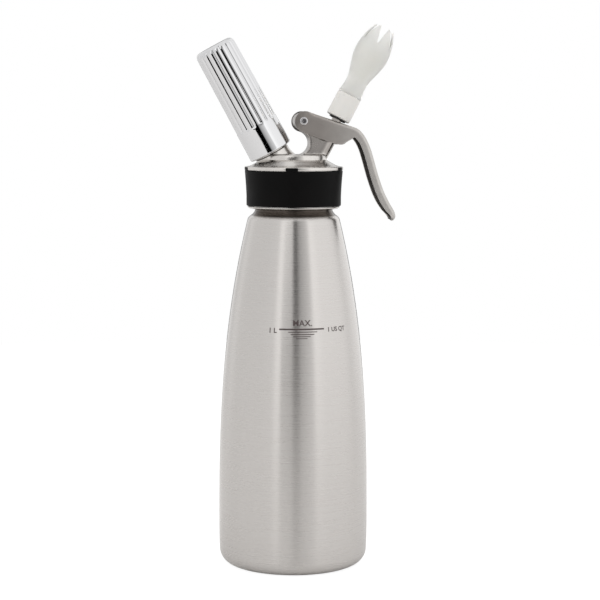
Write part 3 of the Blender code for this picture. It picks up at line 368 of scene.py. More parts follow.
def linear(code):
    """An sRGB hex value as linear RGBA."""
    shares = [int(code[place:place + 2], 16) / 255 for place in (0, 2, 4)]
    return (*(share / 12.92 if share <= 0.04045 else ((share + 0.055) / 1.055) ** 2.4
              for share in shares), 1.0)


def add(tree, kind, inputs=None, **settings):
    """Adds a node. An input that is given a socket is linked to it, and any other is set."""
    made = tree.nodes.new(kind)
    for name, value in settings.items():
        setattr(made, name, value)
    for name, value in (inputs or {}).items():
        if isinstance(value, bpy.types.NodeSocket):
            tree.links.new(value, made.inputs[name])
        else:
            made.inputs[name].default_value = value
    return made


def started(name, **values):
    """A new material with these values on its Principled shader, its tree and that shader."""
    made = bpy.data.materials.new(name)
    made.use_nodes = True
    shader = made.node_tree.nodes["Principled BSDF"]
    for socket, value in values.items():
        shader.inputs[socket.replace("_", " ")].default_value = value
    return made, made.node_tree, shader


def grained(tree, grains, detail=3.0, roughness=0.6):
    """Noise on object coordinates, with that many grains a metre along each axis: 2000 a metre
    are grains of half a millimetre."""
    place = add(tree, "ShaderNodeTexCoord")
    scaled = add(tree, "ShaderNodeMapping", {"Vector": place.outputs["Object"], "Scale": grains})
    return add(tree, "ShaderNodeTexNoise",
               {"Vector": scaled.outputs["Vector"], "Scale": 1.0, "Detail": detail,
                "Roughness": roughness}).outputs["Fac"]


def drift(tree, shader, pattern, tints=None, gloss=None):
    """Lets the surface's colour, its roughness or both drift between two values with a pattern."""
    share = add(tree, "ShaderNodeMapRange", {"Value": pattern, "From Min": 0.3, "From Max": 0.7})
    if tints:
        colour = add(tree, "ShaderNodeMix", {"Factor": share.outputs["Result"], "A": tints[0],
                                             "B": tints[1]}, data_type="RGBA")
        tree.links.new(colour.outputs["Result"], shader.inputs["Base Color"])
    if gloss:
        rough = add(tree, "ShaderNodeMapRange", {"Value": share.outputs["Result"],
                                                 "To Min": gloss[0], "To Max": gloss[1]})
        tree.links.new(rough.outputs["Result"], shader.inputs["Roughness"])


def dented(tree, shader, pattern, strength, depth):
    """Roughens the surface with a pattern of that depth in metres."""
    bump = add(tree, "ShaderNodeBump", {"Height": pattern, "Strength": strength,
                                        "Distance": depth})
    tree.links.new(bump.outputs["Normal"], shader.inputs["Normal"])


def across(tree, axis, start, stop, kind="SMOOTHSTEP"):
    """A mask that goes from 0 to 1 between two places along an object axis, in metres."""
    place = add(tree, "ShaderNodeTexCoord")
    parts = add(tree, "ShaderNodeSeparateXYZ", {"Vector": place.outputs["Object"]})
    ends = {"Value": parts.outputs[axis], "From Min": start, "From Max": stop}
    return add(tree, "ShaderNodeMapRange", ends, interpolation_type=kind).outputs["Result"]


def zoned(tree, mask, near, far):
    """The two tints to drift between, which go over from one pair to another with a mask."""
    return [add(tree, "ShaderNodeMix", {"Factor": mask, "A": linear(first), "B": linear(second)},
                data_type="RGBA").outputs["Result"] for first, second in zip(near, far)]


def brushed_stainless():
    """Deep-drawn 18/10 stainless steel, spun against a belt: fine lines run round the bottle, so
    reflections stay sharp across and smear up and down. The lines are drawn about 0.6 mm apart,
    coarser than the real ones, so that they show. The neck, under the head's skirt, is painted a
    dull grey-brown: painted shade."""
    made, tree, shader = started("brushed_stainless", Metallic=1.0, Anisotropic=0.95,
                                 Anisotropic_Rotation=0.25)
    lines = grained(tree, (30.0, 30.0, 1500.0), 4.0, 0.65)
    # painted shade: the neck under the head's skirt is darker grey-brown
    neck = across(tree, "Z", 0.2249, 0.2257, "LINEAR")
    drift(tree, shader, lines, zoned(tree, neck, ("C5C1BE", "C9C6C3"), ("5A534D", "5A534D")),
          (0.265, 0.295))
    dented(tree, shader, lines, 0.22, 0.00004)
    turn = add(tree, "ShaderNodeTangent", direction_type="RADIAL", axis="Z")
    tree.links.new(turn.outputs["Tangent"], shader.inputs["Tangent"])
    return made


def cast_stainless():
    """Investment-cast stainless steel, bead-blasted and then tumbled: a soft satin with a fine
    pebbled skin, drawn in grains of 0.4 mm, coarser than the real one, so that it shows. The arm
    that holds the lever is painted darker and browner: painted shade."""
    made, tree, shader = started("cast_stainless", Metallic=1.0)
    # painted shade: the arm is darker and browner than the rest of the casting
    arm = add(tree, "ShaderNodeMath", {0: across(tree, "X", -0.003, 0.002),
                                       1: across(tree, "Z", 0.2625, 0.2665)},
              operation="MULTIPLY")
    drift(tree, shader, grained(tree, (140.0,) * 3),
          zoned(tree, arm.outputs["Value"], ("CAC6C2", "D3D0CC"), ("A5A09C", "ADA8A4")),
          (0.20, 0.30))
    dented(tree, shader, grained(tree, (2600.0,) * 3, 2.0), 0.25, 0.00003)
    return made


def polished_chrome():
    """Nickel-chrome plate on a polished body: a mirror with faint wiping marks in its gloss."""
    made, tree, shader = started("polished_chrome", Metallic=1.0, Base_Color=linear("D4D4D5"))
    drift(tree, shader, grained(tree, (90.0, 90.0, 240.0), 4.0), gloss=(0.025, 0.07))
    return made


def pressed_stainless():
    """Stainless sheet, pressed and then tumbled: an even fine satin with small dents in its gloss.
    Painted light and shade: the handle brighter, the cheeks by the hinge darker and browner."""
    made, tree, shader = started("pressed_stainless", Metallic=1.0)
    skin = grained(tree, (1900.0,) * 3)
    # painted light and shade: brighter towards the handle, darker and browner at the cheeks by the
    # hinge
    lit_handle = across(tree, "X", 0.012, 0.046)
    drift(tree, shader, grained(tree, (110.0,) * 3),
          zoned(tree, lit_handle, ("98928E", "A19B96"), ("B5B1AD", "BFBCB8")))
    drift(tree, shader, skin, gloss=(0.30, 0.42))
    dented(tree, shader, skin, 0.3, 0.00004)
    return made


def channel_shade():
    """Steel inside the lever's channel, painted dark: painted shade; its gloss is duller."""
    made, tree, shader = started("channel_shade", Metallic=1.0)
    drift(tree, shader, grained(tree, (160.0,) * 3), (linear("5C5956"), linear("736F6C")),
          (0.40, 0.52))
    return made


def turned_steel():
    """Bar steel turned on a lathe: bright, with fine lines from the tool, drawn 0.3 mm apart,
    coarser than the real ones."""
    made, tree, shader = started("turned_steel", Metallic=1.0)
    drift(tree, shader, grained(tree, (300.0, 300.0, 3000.0), 2.0),
          (linear("C0BFC0"), linear("C9C8C9")), (0.18, 0.30))
    return made


def spring_wire():
    """Hard-drawn stainless wire: darker than sheet, with die lines in its gloss."""
    made, tree, shader = started("spring_wire", Metallic=1.0)
    drift(tree, shader, grained(tree, (900.0,) * 3), (linear("ACACAE"), linear("B6B5B7")),
          (0.22, 0.36))
    return made


def black_silicone():
    """Moulded silicone rubber: near black, silky, with a fine spark-eroded mould texture, drawn
    in grains of 0.5 mm, coarser than the real one."""
    made, tree, shader = started("black_silicone", IOR=1.42, Specular_IOR_Level=0.10)
    drift(tree, shader, grained(tree, (60.0,) * 3), (linear("040404"), linear("080707")),
          (0.46, 0.58))
    dented(tree, shader, grained(tree, (2200.0,) * 3), 0.25, 0.00003)
    return made


def seal_rubber():
    """Nitrile rubber: dull black with a faint bloom."""
    made, tree, shader = started("seal_rubber", IOR=1.52)
    drift(tree, shader, grained(tree, (500.0,) * 3), (linear("1A1919"), linear("21201F")),
          (0.55, 0.72))
    return made


def adapter_plastic():
    """Injection-moulded acetal: pale grey-white, with a soft sheen; light sinks in a little."""
    made, tree, shader = started("adapter_plastic", IOR=1.48, Subsurface_Weight=0.25,
                                 Subsurface_Radius=(1.0, 0.9, 0.8), Subsurface_Scale=0.0015)
    drift(tree, shader, grained(tree, (120.0,) * 3, 2.0), (linear("D1CFCB"), linear("D3D1CD")),
          (0.26, 0.34))
    return made


def nozzle_plastic():
    """Natural polypropylene: milky, so that light spreads inside it and the hollow shows only as a
    soft grey shade."""
    made, tree, shader = started("nozzle_plastic", IOR=1.49, Transmission_Weight=0.6,
                                 Subsurface_Weight=0.7, Subsurface_Radius=(1.0, 0.97, 0.93),
                                 Subsurface_Scale=0.004)
    drift(tree, shader, grained(tree, (150.0,) * 3, 2.0), (linear("EEEEEA"), linear("F1F0ED")),
          (0.38, 0.46))
    return made


def mark_ink():
    """Pad-printed enamel ink, baked on: a dull brown-black."""
    made, tree, shader = started("mark_ink", IOR=1.5)
    drift(tree, shader, grained(tree, (900.0,) * 3, 2.0), (linear("3E3333"), linear("433837")),
          (0.45, 0.60))
    return made


FINISH = {
    "brushed_steel": brushed_stainless(),
    "cast_steel": cast_stainless(),
    "polished_chrome": polished_chrome(),
    "pressed_steel": pressed_stainless(),
    "charger_steel": turned_steel(),
    "spring_steel": spring_wire(),
    "black_silicone": black_silicone(),
    "seal_rubber": seal_rubber(),
    "adapter_plastic": adapter_plastic(),
    "nozzle_plastic": nozzle_plastic(),
}
INK = mark_ink()
CHANNEL_SHADE = channel_shade()

for subpart in frame["record"]["subparts"]:
    for place in frame["nodes"][subpart["node"]].material_slots:
        place.material = FINISH[subpart["material_slot"]]


def dress(name, bm, slot, body, *nodes, at=BOTTLE, sharp=38.0, finish=None):
    """Puts a shape in its place as a piece that rides on a body and stands for its CAD nodes."""
    moved(bm, at)
    mesh = bpy.data.meshes.new(name)
    bm.to_mesh(mesh)
    bm.free()
    mesh.shade_smooth()
    mesh.set_sharp_from_angle(angle=math.radians(sharp))
    mesh.materials.append(finish or FINISH[slot])
    piece = bpy.data.objects.new(name, mesh)
    bpy.context.collection.objects.link(piece)
    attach(piece, body)
    if nodes:
        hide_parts(*nodes)
    return piece


# Bottle

def bottle_radius(height):
    share = max(0.0, (height - BELLY) / (SHOULDER - BELLY))
    return BODY_R - (BODY_R - SHOULDER_R) * share ** TAPER


def bottle_side(inset):
    """The side from the foot's top to the neck's foot, moved inwards by inset."""
    foot = (BODY_R - DRAFT - FOOT_ROUND, FOOT_ROUND)
    points = arc(foot, FOOT_ROUND - inset, -90, 0, 14)
    points += bend(points[-1], (BODY_R - inset, BELLY_START), (BODY_R - inset, BELLY), 6)[:-1]
    for step in range(TAPER_STEPS):
        height = BELLY + (SHOULDER - BELLY) * step / TAPER_STEPS
        points.append((bottle_radius(height) - inset, height))
    tilt = math.atan(TAPER * (BODY_R - SHOULDER_R) / (SHOULDER - BELLY))
    centre = (SHOULDER_R - SHOULDER_ROUND * math.cos(tilt),
              SHOULDER - SHOULDER_ROUND * math.sin(tilt))
    points += arc(centre, SHOULDER_ROUND - inset, math.degrees(tilt), SHOULDER_STOP, 10)
    return points


def make_bottle():
    foot = BODY_R - DRAFT - FOOT_ROUND
    lip = MOUTH - MOUTH_ROUND
    outline = [(0, 0), *BASE_GROOVE, (foot, 0)] + bottle_side(0)[1:]
    outline += bend(outline[-1], NECK_HOLLOW, (NECK_R, NECK_FOOT + NECK_CURVE_TOP))
    outline += [(NECK_R, lip)] + arc((NECK_R - MOUTH_ROUND, lip), MOUTH_ROUND, 0, 90, 5)[1:]
    outline += arc((NECK_IN_R + MOUTH_ROUND, lip), MOUTH_ROUND, 90, 180, 5)
    outline += [(NECK_IN_R, NECK_FOOT - NECK_INSIDE_FOOT)]
    outline += reversed(bottle_side(WALL)[1:])
    outline += [(foot, BASE_WALL), (0, BASE_WALL)]
    dress("bottle_shell", lathe(outline, BOTTLE_SIDES), "brushed_steel", "bottle", "bottle")
    ridge = thread(NECK_R - NECK_ROOT, NECK_R + NECK_RIDGE_H, NECK_RIDGE_W,
                   NECK_FOOT + NECK_THREAD_UP, NECK_TURNS, NECK_PITCH)
    dress("bottle_neck_thread", ridge, "brushed_steel", "bottle", finish=FINISH["charger_steel"])


# Fill mark: each line's place across and up from the mark's middle, half its length and its
# thickness, and each word's place and size

MARK_ANGLE = -1.3
MARK_Z = 156.5
MARK_LINES = ((0.0, 0.0, 14.35, 0.95), (0.5, -1.7, 9.2, 0.5), (0.3, -3.2, 7.4, 0.5),
              (-0.2, -4.5, 5.5, 0.45), (-0.2, -5.7, 3.5, 0.4))
MARK_WORDS = (("MAX.", 0.3, 2.0, 5.3), ("1 L", -18.6, -2.2, 4.3), ("1 US QT", 23.8, -1.9, 3.9))
STROKE = 0.09  # how much bolder the letters are than the typeface
INK_H = 0.05
INK_SUNK = 0.02


def wrapped(bm):
    """Lays flat print, drawn across and up from the mark's middle, onto the bottle's side."""
    for vert in bm.verts:
        height = MARK_Z + vert.co.y
        radius = bottle_radius(height) + vert.co.z
        turn = math.radians(MARK_ANGLE) + vert.co.x / bottle_radius(MARK_Z)
        vert.co = (radius * math.sin(turn), -radius * math.cos(turn), height)
    return bm


def print_slab(bm, right, up):
    """Puts flat print in its place with the thickness of ink, sunk a little into the steel."""
    bmesh.ops.translate(bm, vec=(right, up, 0), verts=bm.verts)
    made = bmesh.ops.extrude_face_region(bm, geom=list(bm.faces), use_keep_orig=True)
    top = [item for item in made["geom"] if isinstance(item, bmesh.types.BMVert)]
    bmesh.ops.translate(bm, vec=(0, 0, INK_H), verts=top)
    bmesh.ops.translate(bm, vec=(0, 0, -INK_SUNK), verts=bm.verts)
    return bm


def lettering(words, size):
    """The words as flat faces, centred across."""
    text = bpy.data.curves.new("words", "FONT")
    text.body = words
    text.size = size
    text.align_x = "CENTER"
    text.resolution_u = 4
    text.offset = STROKE
    drawn = bpy.data.objects.new("words", text)
    bpy.context.collection.objects.link(drawn)
    graph = bpy.context.evaluated_depsgraph_get()
    flat = bpy.data.meshes.new_from_object(drawn.evaluated_get(graph))
    bm = bmesh.new()
    bm.from_mesh(flat)
    bpy.data.objects.remove(drawn)
    bpy.data.curves.remove(text)
    bpy.data.meshes.remove(flat)
    bmesh.ops.remove_doubles(bm, verts=bm.verts, dist=MERGE)
    return bm


def make_mark():
    shapes = []
    for right, up, half, thick in MARK_LINES:
        bm = bmesh.new()
        bmesh.ops.create_grid(bm, x_segments=24, y_segments=1, size=1.0)
        bmesh.ops.scale(bm, vec=(half, thick / 2, 1), verts=bm.verts)
        shapes.append(print_slab(bm, right, up))
    for words, right, up, size in MARK_WORDS:
        shapes.append(print_slab(lettering(words, size), right, up))
    bm = wrapped(merged(*shapes))
    bmesh.ops.recalc_face_normals(bm, faces=bm.faces)
    dress("fill_mark", bm, "brushed_steel", "bottle", finish=INK)


# Head

def spout_point(right, up):
    """World (x, z) of a point given across and along the dispensing axis, level with the hinge."""
    return (HINGE_X + (LEVER_ARM + right) * math.cos(SPOUT_TILT) + up * math.sin(SPOUT_TILT),
            HINGE_Z - (LEVER_ARM + right) * math.sin(SPOUT_TILT) + up * math.cos(SPOUT_TILT))


def spout_rise():
    """How far the adapter's foot is above the hinge's level, along the dispensing axis."""
    facing = SPOUT_TILT - WEB_TILT
    return (EAR_R / math.cos(facing) + (LEVER_ARM + ADAPTER_R) * math.tan(facing)
            + ADAPTER_WEB_GAP)


def spout_ends():
    """The spout's top and the valve's seat, measured up from the adapter's foot."""
    return SPOUT_TOP - spout_rise(), -SEAT_DEPTH - spout_rise()


def rim_blocks(size, inset, rise, edge):
    """Rounded blocks at even steps round the rim: its notches, and the band's keys in them."""
    blocks = []
    for number in range(KEYS):
        block = bmesh.new()
        bmesh.ops.create_cube(block, size=1.0)
        bmesh.ops.scale(block, vec=size, verts=block.verts)
        bmesh.ops.translate(block, vec=(RIM_R - inset, 0, RIM_FOOT + rise), verts=block.verts)
        soften(block, edge)
        turn = math.radians(KEY_ANGLE + 360 * number / KEYS)
        blocks.append(moved(block, Matrix.Rotation(turn, 4, "Z")))
    return blocks


def plug(radius, half):
    """A plain round cutter."""
    return lathe([(0, -half), (radius, -half), (radius, half), (0, half)], HOLE_SIDES)


def valve_bore():
    """A cutter: the spring's pocket, the stem's bore and the room below the seat."""
    top, seat = spout_ends()
    pocket = top - SPRING_POCKET_DEPTH
    outline = [(0, top + CUT_PAST), (SPRING_POCKET_R, top + CUT_PAST), (SPRING_POCKET_R, pocket),
               (STEM_BORE_R, pocket), (STEM_BORE_R, seat), (SEAT_ROOM_R, seat),
               (SEAT_ROOM_R, seat - SEAT_ROOM_LEN), (0, seat - SEAT_ROOM_LEN)]
    return moved(lathe(outline, BORE_SIDES, start=0.01), TO_MM @ SPOUT)


def gas_bore():
    """A cutter: the pocket for the charger's neck and the check valve's chamber."""
    foot = CHECK_BOSS_FOOT - CUT_PAST
    outline = [(0, CUT_PAST), (NECK_POCKET_R, CUT_PAST), (NECK_POCKET_R, CHECK_CHAMBER_TOP),
               (CHECK_CHAMBER_R, CHECK_CHAMBER_TOP), (CHECK_CHAMBER_R, foot), (0, foot)]
    return moved(lathe(outline, BOSS_SIDES, start=0.01), TO_MM @ CHARGER)


def make_skirt():
    """The head's lower casting: the dome, the notched rim and the skirt with its thread."""
    outline = [(CAVITY_TOP_R, DOME_INSIDE), (PLATEAU_R, DOME_INSIDE)]
    for step in range(DOME_STEPS + 1):
        share = step / DOME_STEPS
        sag = DOME_SAG * share * share * (1 - share)
        outline.append((DOME_TOP_R + (DOME_FOOT_R - DOME_TOP_R) * share,
                        DOME_TOP + (RIM_TOP - DOME_TOP) * share - sag))
    lip = SKIRT_FOOT + SKIRT_LIP
    outline += [RIM_BREAK]
    outline += arc((RIM_R - RIM_ROUND, RIM_TOP - RIM_ROUND - RIM_DROP), RIM_ROUND, 75, 0, 5)
    under = RIM_UNDER_ROUND
    outline += arc((RIM_R - under, RIM_FOOT + under), under, 0, -90, 4)
    outline += [(SKIRT_R, RIM_FOOT), (SKIRT_R, lip), (SKIRT_LIP_R, lip)]
    outline += arc((SKIRT_LIP_R, lip - LIP_ROUND), LIP_ROUND, 90, -60, 5)
    outline += [(SKIRT_R, SKIRT_FOOT), (SKIRT_BORE_R, SKIRT_FOOT), (SKIRT_BORE_R, GASKET_SEAT),
                (CAVITY_R, GASKET_SEAT), (CAVITY_R, GASKET_SEAT + CAVITY_LIP),
                (CAVITY_TOP_R, CAVITY_TOP)]
    ring = worked(lathe(outline, HEAD_SIDES, closed=True),
                  cutters=[*rim_blocks(NOTCH, 0, NOTCH_RISE, NOTCH_EDGE), valve_bore()])
    dress("head_skirt", ring, "cast_steel", "head", "head_casting")
    ridge = thread(SKIRT_BORE_R + NECK_ROOT, NECK_R + HEAD_RIDGE_GAP, NECK_RIDGE_W,
                   NECK_FOOT + HEAD_THREAD_UP, HEAD_TURNS, NECK_PITCH)
    dress("head_thread", ridge, "cast_steel", "head")


def make_arm():
    """The upper casting: flat top, charger post, C-shaped arm, hinge boss and spout in one."""
    shoulder = PLATEAU_R - PLATEAU_ROUND
    slab = lathe([(0, PLATEAU), (shoulder, PLATEAU)]
                 + arc((shoulder, PLATEAU - PLATEAU_ROUND), PLATEAU_ROUND, 90, 0, 5)
                 + [(PLATEAU_R, PLATEAU_SIDE), (PLATEAU_FOOT_R, CAVITY_TOP), (0, CAVITY_TOP)],
                 SLAB_SIDES)
    flare = (POST_R, POST_FLARE)
    post = lathe([(0, POST_TOP), (POST_R - POST_EDGE, POST_TOP), (POST_R, POST_TOP - POST_EDGE),
                  flare] + bend(flare, POST_HOLLOW, (POST_FLARE_R, POST_FOOT), 6)
                 + [(CHECK_BOSS_R, POST_FOOT), (CHECK_BOSS_R, CHECK_BOSS_FOOT),
                    (0, CHECK_BOSS_FOOT)], POST_SIDES)
    top, seat = spout_ends()
    foot = top - SPOUT_LEN
    spout = lathe([(0, top), (SPOUT_R - SPOUT_EDGE[0], top), (SPOUT_R, top - SPOUT_EDGE[1]),
                   (SPOUT_R, foot), (SEAT_BOSS_R, foot - SEAT_BOSS_EDGE), (SEAT_BOSS_R, seat),
                   (0, seat)], POST_SIDES)
    hinge = (HINGE_X, HINGE_Z)
    outline = arc(hinge, ARM_NOSE_STEP_R, 60, 80, 6) + arc(hinge, ARM_NOSE_R, 105, 240, 20)
    outline += arc(ARM_HOOK, ARM_HOOK_R, 62, -90, 48)
    outline += [(ARM_HOOK[0], PLATEAU - ARM_ROOT)]
    outline += [spout_point(*place) for place in ARM_FRONT]
    edge_r, edge_half = BOSS_R - BOSS_EDGE, BOSS_HALF - BOSS_EDGE
    boss = lathe([(0, -BOSS_HALF), (edge_r, -BOSS_HALF), (BOSS_R, -edge_half), (BOSS_R, edge_half),
                  (edge_r, BOSS_HALF), (0, BOSS_HALF)], BOSS_SIDES)
    skin = cast(slab, moved(post, TO_MM @ CHARGER), moved(spout, TO_MM @ SPOUT),
                plate(outline, ARM_HALF), moved(boss, TO_MM @ HINGE @ CROSSWAYS), grain=0.42,
                rounds=5)
    pin_hole = moved(plug(PIN_HOLE_R, PIN_HOLE_HALF), TO_MM @ HINGE @ CROSSWAYS)
    skin = worked(skin, cutters=(pin_hole, valve_bore(), gas_bore()))
    dress("head_arm", skin, "cast_steel", "head", sharp=50.0)


def make_post():
    """The threaded tube that the charger holder screws onto."""
    side = POST_NECK_TOP - POST_NECK_EDGE
    outline = [(NECK_POCKET_R, side), (NECK_POCKET_R + POST_NECK_EDGE, POST_NECK_TOP),
               (POST_NECK_R - POST_NECK_EDGE, POST_NECK_TOP), (POST_NECK_R, side),
               (POST_NECK_R, POST_TOP), (NECK_POCKET_R, POST_TOP)]
    dress("charger_post", lathe(outline, POST_SIDES, closed=True), "cast_steel", "head",
          at=CHARGER)
    ridge = thread(POST_NECK_R - CHARGER_ROOT, POST_NECK_R + CHARGER_RIDGE_H, CHARGER_RIDGE_W,
                   POST_THREAD_UP, POST_TURNS, CHARGER_PITCH)
    dress("charger_post_thread", ridge, "cast_steel", "head", at=CHARGER)


BAND_IN_R = 28.5
BAND_R = 30.25
BAND_TOP_R = 30.9
BAND_TOP_ROUND = 0.4
BAND_FOOT_ROUND = 0.6
BAND_ABOVE_SKIRT_FOOT = 1.7
BAND_LEAN = (30.5, 2.0)  # what its side leans towards: a radius, and how far above the middle
BAND_LEAN_FOOT = 6.0
BAND_EASE = 0.2  # a row beside the round keeps the straight side's shading even


def make_band():
    low, high = SKIRT_FOOT + BAND_ABOVE_SKIRT_FOOT, RIM_FOOT - FIT
    round_top, round_foot = BAND_TOP_ROUND, BAND_FOOT_ROUND
    outline = [(BAND_IN_R, high), (BAND_TOP_R, high)]
    outline += arc((BAND_TOP_R, high - round_top), round_top, 90, 0, 4)
    outline += bend(outline[-1], (BAND_LEAN[0], (low + high) / 2 + BAND_LEAN[1]),
                    (BAND_R, low + BAND_LEAN_FOOT), 12)
    outline += [(BAND_R, low + round_foot + BAND_EASE)]
    outline += arc((BAND_R - round_foot, low + round_foot), round_foot, 0, -90, 5)
    outline += [(BAND_IN_R, low)]
    dress("grip_sleeve", lathe(outline, HEAD_SIDES, closed=True), "black_silicone", "head",
          "grip_band")
    keys = merged(*rim_blocks(KEY, KEY_INSET, KEY_RISE, KEY_EDGE))
    dress("grip_keys", keys, "black_silicone", "head")


# Charger holder

HOLDER_LEN = 75.8
HOLDER_FOOT_R = 14.1
HOLDER_TOP_R = 13.3
HOLDER_TOP_ROUND = 3.6
HOLDER_FOOT_ROUND = 0.9
HOLDER_THREAD_R = 11.3
HOLDER_THREAD_LEN = 13.4
HOLDER_BORE_R = 9.3
HOLDER_BORE = (65.0, 73.9)  # where the bore's dome starts, and its top
HOLDER_MOUTH_EDGE = 0.6
HOLDER_ROWS = (70, 60, 50, 40, 30, 24)
HOLDER_FOOT_ROWS = (18, 10, 1.2)
FLUTES = 18
FLUTE_SIDES = 22
FLUTE_ANGLE = -104.3
FLUTE_FOOT = 19.3
FLUTE_TOP = 74.3
FLUTE_END = 1.6
GROOVE_DEPTH = 0.36
GROOVE_HALF = 2.9  # degrees
LAND_FALL = 0.11  # half of how much a land falls from its middle to its groove
ROW = 0.2  # between rows of the mesh where the flutes end


def flute(turn, height):
    """How deep the side is hollowed: a narrow groove between broad lands, a little round."""
    ends = min(FLUTE_END, max(0.0, height - FLUTE_FOOT), max(0.0, FLUTE_TOP - height)) / FLUTE_END
    pitch = math.tau / FLUTES
    off = (turn - math.radians(FLUTE_ANGLE) + pitch / 2) % pitch - pitch / 2
    groove = GROOVE_DEPTH * math.exp(-(math.degrees(off) / GROOVE_HALF) ** 2)
    land = LAND_FALL * (1 + math.cos(off * FLUTES))
    return (groove + land) * math.sqrt(1 - (1 - ends) ** 2)


def make_holder():
    shoulder = HOLDER_LEN - HOLDER_TOP_ROUND
    heights = [shoulder - step * ROW for step in range(4)]
    heights += [*HOLDER_ROWS, *(FLUTE_FOOT + FLUTE_END - step * ROW for step in range(9))]
    heights += HOLDER_FOOT_ROWS
    outline = [(0, HOLDER_LEN)]
    outline += arc((HOLDER_TOP_R - HOLDER_TOP_ROUND, shoulder), HOLDER_TOP_ROUND, 90, 2, 14)
    outline += [(HOLDER_FOOT_R + (HOLDER_TOP_R - HOLDER_FOOT_R) * height / HOLDER_LEN, height)
                for height in heights]
    outline += arc((HOLDER_FOOT_R - HOLDER_FOOT_ROUND, HOLDER_FOOT_ROUND), HOLDER_FOOT_ROUND, 0,
                   -90, 5)
    outline += [(HOLDER_THREAD_R + HOLDER_MOUTH_EDGE, 0), (HOLDER_THREAD_R, HOLDER_MOUTH_EDGE),
                (HOLDER_THREAD_R, HOLDER_THREAD_LEN), (HOLDER_BORE_R, HOLDER_THREAD_LEN),
                (HOLDER_BORE_R, HOLDER_BORE[0])]
    outline += bend(outline[-1], (HOLDER_BORE_R, HOLDER_BORE[1]), (0, HOLDER_BORE[1]), 10)
    holder = lathe(outline, FLUTES * FLUTE_SIDES, start=math.radians(FLUTE_ANGLE))
    for vert in holder.verts:
        radius = math.hypot(vert.co.x, vert.co.y)
        if radius > HOLDER_THREAD_R + 0.3:
            depth = flute(math.atan2(vert.co.y, vert.co.x), vert.co.z)
            vert.co.x *= 1 - depth / radius
            vert.co.y *= 1 - depth / radius
    dress("holder_shell", holder, "polished_chrome", "holder", "charger_holder", at=CHARGER,
          sharp=60.0)
    ridge = thread(HOLDER_THREAD_R + CHARGER_ROOT, HOLDER_THREAD_R - CHARGER_RIDGE_H,
                   CHARGER_RIDGE_W, HOLDER_THREAD_UP, HOLDER_TURNS, CHARGER_PITCH)
    dress("holder_thread", ridge, "polished_chrome", "holder", at=CHARGER)


# Lever: the handle's line is in shares of its reach and drop, and the cheeks' depth goes with the
# distance along the lever

HANDLE_REACH = 28.2
HANDLE_DROP = 60.6
HANDLE_SHARES = (
    (0.00, 0.000), (0.12, 0.022), (0.22, 0.065), (0.32, 0.135), (0.40, 0.215), (0.46, 0.300),
    (0.52, 0.395), (0.585, 0.500), (0.65, 0.590), (0.71, 0.665), (0.785, 0.740), (0.865, 0.810),
    (0.95, 0.875), (0.995, 0.925), (1.00, 0.960), (0.98, 0.988), (0.935, 1.000),
)
CHEEK = ((0.0, 13.1), (6.0, 13.4), (10.5, 13.7), (18.1, 14.0), (24.0, 13.8), (27.6, 13.4),
         (29.2, 12.3), (31.0, 10.0), (33.0, 7.8), (35.0, 6.4), (38.0, 5.5), (44.0, 5.2),
         (84.0, 5.2), (91.0, 4.6), (96.0, 3.3), (100.0, 2.0), (120.0, 1.7))
LEVER_STEP = 1.25
LEVER_FOLD = 1.5
LEVER_EDGE = 0.3
TIP_LEN = 7.0
STEM_SLOT_R = 4.0
STEM_SLOT_BACK = 1.6  # how much longer the slot is towards the hinge
STEM_SLOT_HALF = 4.0
STEM_SLOT_DOWN = 2.0  # from the adapter's foot to the middle of the slot's cutter
RIVET = ((0, 3.0), (1.1, 4.2), (1.15, 8.5), (1.3, 8.9), (1.9, 9.0), (2.4, 8.85), (2.65, 8.5),
         (2.65, 8.3), (1.9, 8.3))


def web_point(along, below):
    """(x, z) from the hinge of a point along the lever's flat web and below its top."""
    return (along * math.cos(WEB_TILT) + (EAR_R - below) * math.sin(WEB_TILT),
            -along * math.sin(WEB_TILT) + (EAR_R - below) * math.cos(WEB_TILT))


def lever_line():
    """The lever's outer line in even steps: place, inward direction and distance from the hinge."""
    end = web_point(WEB_LEN, 0)
    marks = [web_point(along, 0) for along in (WEB_START, 8, 16, 22, 27)]
    marks += [(end[0] + HANDLE_REACH * x, end[1] - HANDLE_DROP * z) for x, z in HANDLE_SHARES]
    fine = through(marks, 24)
    line = []
    run = wanted = WEB_START
    for before, place, after in zip([fine[0]] + fine, fine, fine[1:] + [fine[-1]]):
        run += (place - before).length
        if run >= wanted - 1e-6:
            along = (after - before).normalized()
            line.append((place, Vector((along.y, -along.x)), run))
            wanted += LEVER_STEP
    return line


def at_distance(table, distance):
    for (low, first), (high, second) in zip(table, table[1:]):
        if distance <= high:
            return first + (second - first) * max(0.0, distance - low) / (high - low)
    return table[-1][1]


def lever_section(depth, half, fold):
    """Half a U section in the sheet's middle, from the cheek's edge to the web's middle."""
    side = half - SHEET / 2
    points = [(side, depth - (depth - fold - SHEET / 2) * step / 6) for step in range(6)]
    points += [(x, -z) for x, z in arc((side - fold, -SHEET / 2 - fold), fold, 0, 90, 6)]
    points += [((side - fold) * (1 - step / 5), SHEET / 2) for step in range(1, 6)]
    return points


def lever_rows(line):
    """The whole U section at each step of the line, narrower over the rounded tip."""
    rows = []
    for place, inward, run in line:
        left = max(0.0, run - (line[-1][2] - TIP_LEN)) / TIP_LEN
        half = LEVER_HALF * math.sqrt(max(0.05, 1 - left ** 2.2))
        fold = min(LEVER_FOLD, 0.25 + max(0.0, run - WEB_START) * 0.3, (half - SHEET / 2) * 0.7)
        section = lever_section(max(at_distance(CHEEK, run), SHEET / 2 + fold + 0.02), half, fold)
        section += [(-y, depth) for y, depth in reversed(section[:-1])]
        rows.append([(place + inward * depth, y) for y, depth in section])
    return rows


